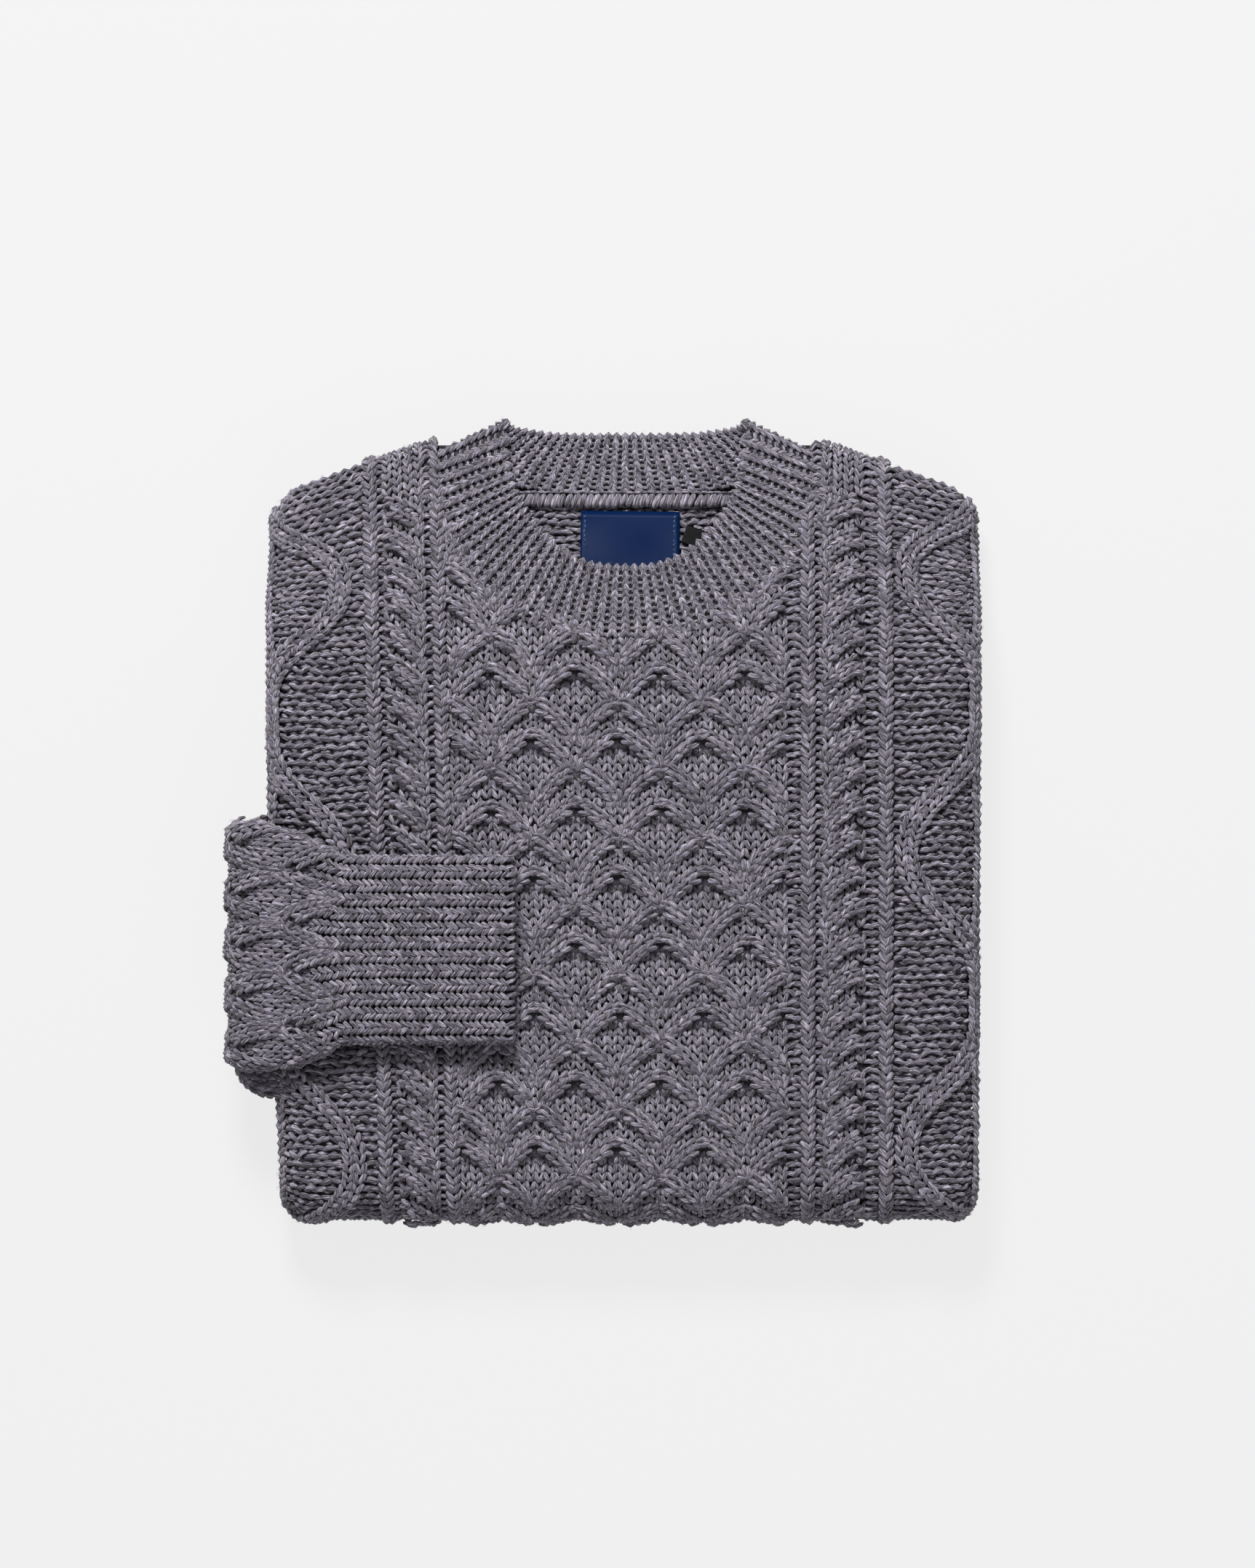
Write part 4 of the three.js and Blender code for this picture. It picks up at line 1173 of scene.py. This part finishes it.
# %% The marl yarn
def marl_group():
    group, given, result = new_group(
        "marl yarn",
        [("Shade", "NodeSocketFloat", 1.0), ("Hair", "NodeSocketFloat", 1.0)],
        [("Color", "NodeSocketColor"), ("Normal", "NodeSocketVector")])
    uv = add_node(group, "ShaderNodeUVMap", uv_map="yarn")
    tone = add_node(group, "ShaderNodeAttribute", attribute_name="tone")
    parts = add_node(group, "ShaderNodeSeparateXYZ", {0: uv.outputs["UV"]})
    along, around = parts.outputs[0], parts.outputs[1]
    twisted = math_node(group, "ADD", around, math_node(group, "MULTIPLY", along, 0.4))
    apart = math_node(group, "MULTIPLY", tone.outputs["Fac"], 97.0)
    stretched = math_node(group, "MULTIPLY", along, 0.16)
    wound = math_node(group, "MULTIPLY", twisted, 1.35)
    fibre_place = add_node(group, "ShaderNodeCombineXYZ", {0: stretched, 1: wound, 2: apart})
    fibres = add_node(group, "ShaderNodeTexNoise", {"Vector": fibre_place.outputs[0]},
                      in_Scale=1.6, in_Detail=4.0, in_Roughness=0.64)
    mixed = math_node(group, "ADD", math_node(group, "MULTIPLY", fibres.outputs[0], 0.93),
                      math_node(group, "MULTIPLY", tone.outputs["Fac"], 0.07))
    wool = ramp(group, mixed, [(0.36, (0.016, 0.015, 0.019)), (0.46, (0.07, 0.065, 0.08)),
                               (0.54, (0.172, 0.158, 0.198)), (0.64, (0.45, 0.42, 0.495))])
    hue = add_node(group, "ShaderNodeSeparateColor", {0: fibres.outputs["Color"]})
    tinted = ramp(group, hue.outputs[1], [(0.42, (1.05, 0.98, 0.93)), (0.5, (1, 1, 1)),
                                          (0.58, (0.96, 0.95, 1.05))])
    grey = add_node(group, "ShaderNodeCombineColor", {k: given.outputs["Shade"] for k in range(3)})
    shaded = multiplied(group, multiplied(group, wool, tinted), grey.outputs[0])
    wave = math_node(group, "SINE", math_node(group, "MULTIPLY", twisted, 1.3), 0.0)
    plies = math_node(group, "ABSOLUTE", wave, 0.0)
    height = math_node(group, "ADD", math_node(group, "MULTIPLY", plies, 0.5),
                       math_node(group, "MULTIPLY", fibres.outputs[0], 1.4))
    bump = add_node(group, "ShaderNodeBump", {"Height": height}, in_Distance=0.0006)
    group.links.new(math_node(group, "MULTIPLY", given.outputs["Hair"], 0.8), bump.inputs["Strength"])
    group.links.new(shaded, result.inputs["Color"])
    group.links.new(bump.outputs[0], result.inputs["Normal"])
    return group


MARL = marl_group()


def yarn_material(name, shade):
    material, tree, surface = new_material(name)
    yarn = tree.nodes.new("ShaderNodeGroup")
    yarn.node_tree = MARL
    yarn.inputs["Shade"].default_value = shade
    tree.links.new(yarn.outputs["Color"], surface.inputs["Base Color"])
    tree.links.new(yarn.outputs["Normal"], surface.inputs["Normal"])
    surface.inputs["Roughness"].default_value = 0.85
    surface.inputs["Specular IOR Level"].default_value = 0.25
    surface.inputs["Sheen Weight"].default_value = 0.25
    surface.inputs["Sheen Roughness"].default_value = 0.4
    return material


# %% [markdown]
# The cloth between the stitches lies in deep shade, and that shade is painted into its colour:
# where it faces up, it is nearly black. Its sides and its underside aren't covered by stitches
# everywhere, and there it has the tone of the wool. Satin is fine ridges of thread, so one wave
# gives both its tint and its normal.

# %% The cloth and the satin
def cloth_material():
    material, tree, surface = new_material("wool_in_the_gaps")
    place = add_node(tree, "ShaderNodeTexCoord")
    noise = add_node(tree, "ShaderNodeTexNoise", {"Vector": place.outputs["Object"]},
                     in_Scale=900.0, in_Detail=3.0)
    # painted shade: a near-black colour for the shade between the stitches, used where the cloth faces up
    gaps = ramp(tree, noise.outputs[0], [(0.3, (0.012, 0.011, 0.014)), (0.7, (0.04, 0.038, 0.046))])
    outside = ramp(tree, noise.outputs[0], [(0.35, (0.03, 0.028, 0.035)), (0.65, (0.16, 0.15, 0.18))])
    # faces that point up take the painted shade, and sides and underside take the wool's tone
    normal = add_node(tree, "ShaderNodeNewGeometry").outputs["Normal"]
    facing = add_node(tree, "ShaderNodeSeparateXYZ", {0: normal})
    side = add_node(tree, "ShaderNodeMapRange", {"Value": facing.outputs[2]}, in_1=0.4, in_2=0.0)
    wool = add_node(tree, "ShaderNodeMix", {"Factor": side.outputs[0]}, data_type="RGBA")
    tree.links.new(gaps, wool.inputs["A"])
    tree.links.new(outside, wool.inputs["B"])
    tree.links.new(wool.outputs["Result"], surface.inputs["Base Color"])
    surface.inputs["Roughness"].default_value = 1.0
    surface.inputs["Specular IOR Level"].default_value = 0.05
    return material


def satin_material(name, colour, threads):
    material, tree, surface = new_material(name)
    uv = add_node(tree, "ShaderNodeUVMap", uv_map="weave")
    wave = add_node(tree, "ShaderNodeTexWave", {"Vector": uv.outputs["UV"]},
                    in_Scale=threads, in_Distortion=0.4)
    tint = ramp(tree, wave.outputs["Fac"], [(0.0, tuple(c * 0.7 for c in colour)), (1.0, colour)])
    tree.links.new(tint, surface.inputs["Base Color"])
    bump = add_node(tree, "ShaderNodeBump", {"Height": wave.outputs["Fac"]},
                    in_Distance=0.00008, in_Strength=0.6)
    tree.links.new(bump.outputs[0], surface.inputs["Normal"])
    surface.inputs["Roughness"].default_value = 0.3
    surface.inputs["Specular IOR Level"].default_value = 0.06
    return material


wool = yarn_material("marl_wool", 0.88)
cloth = cloth_material()
navy = satin_material("navy_satin", (0.001, 0.0095, 0.046), 0.9)
black = satin_material("black_satin", (0.0022, 0.0024, 0.003), 0.9)
thread, _, thread_surface = new_material("pale_blue_thread")
thread_surface.inputs["Base Color"].default_value = (0.02, 0.065, 0.16, 1)
thread_surface.inputs["Roughness"].default_value = 0.6

# %% [markdown]
# ## Putting it together
#
# Each piece takes its finish and rides on the model's only body, and the plain parts that the
# pieces cover are hidden.

# %% Pieces, finishes and the hidden plain parts
STITCHES = [honeycomb_arches, honeycomb_ground, ropes_and_ribs, ground_left, ground_right,
            diamond_left, diamond_right, lower_edges]
PIECES = {
    "marl_wool": (wool, STITCHES + [sleeve_stitches, sleeve_lining, cuff_stitches, band_stitches,
                                    back_stitches, seam_stitches]),
    "wool_in_the_gaps": (cloth, [body_cloth, sleeve_cloth, cuff_cloth, band_cloth, back_cloth]),
    "navy_satin": (navy, [label]),
    "black_satin": (black, [size_tab]),
    "pale_blue_thread": (thread, [label_thread]),
}
for name, (material, things) in PIECES.items():
    for thing in things:
        thing.data.materials.clear()
        thing.data.materials.append(material)
        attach(thing, "root")

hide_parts("front_panel", "folded_layers")
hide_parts("sleeve_right")
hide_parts("cuff_right")
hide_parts("neckband")
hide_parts("back_panel")
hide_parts("neck_tape")
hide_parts("label_main")
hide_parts("label_size")

# %% [markdown]
# Last, the triangles of all the meshes are counted, the plain model's with them.

# %% Triangles, and the end
triangles = sum(len(face.vertices) - 2 for thing in bpy.data.objects if thing.type == "MESH"
                for face in thing.data.polygons)
print("triangles with the plain model:", triangles)
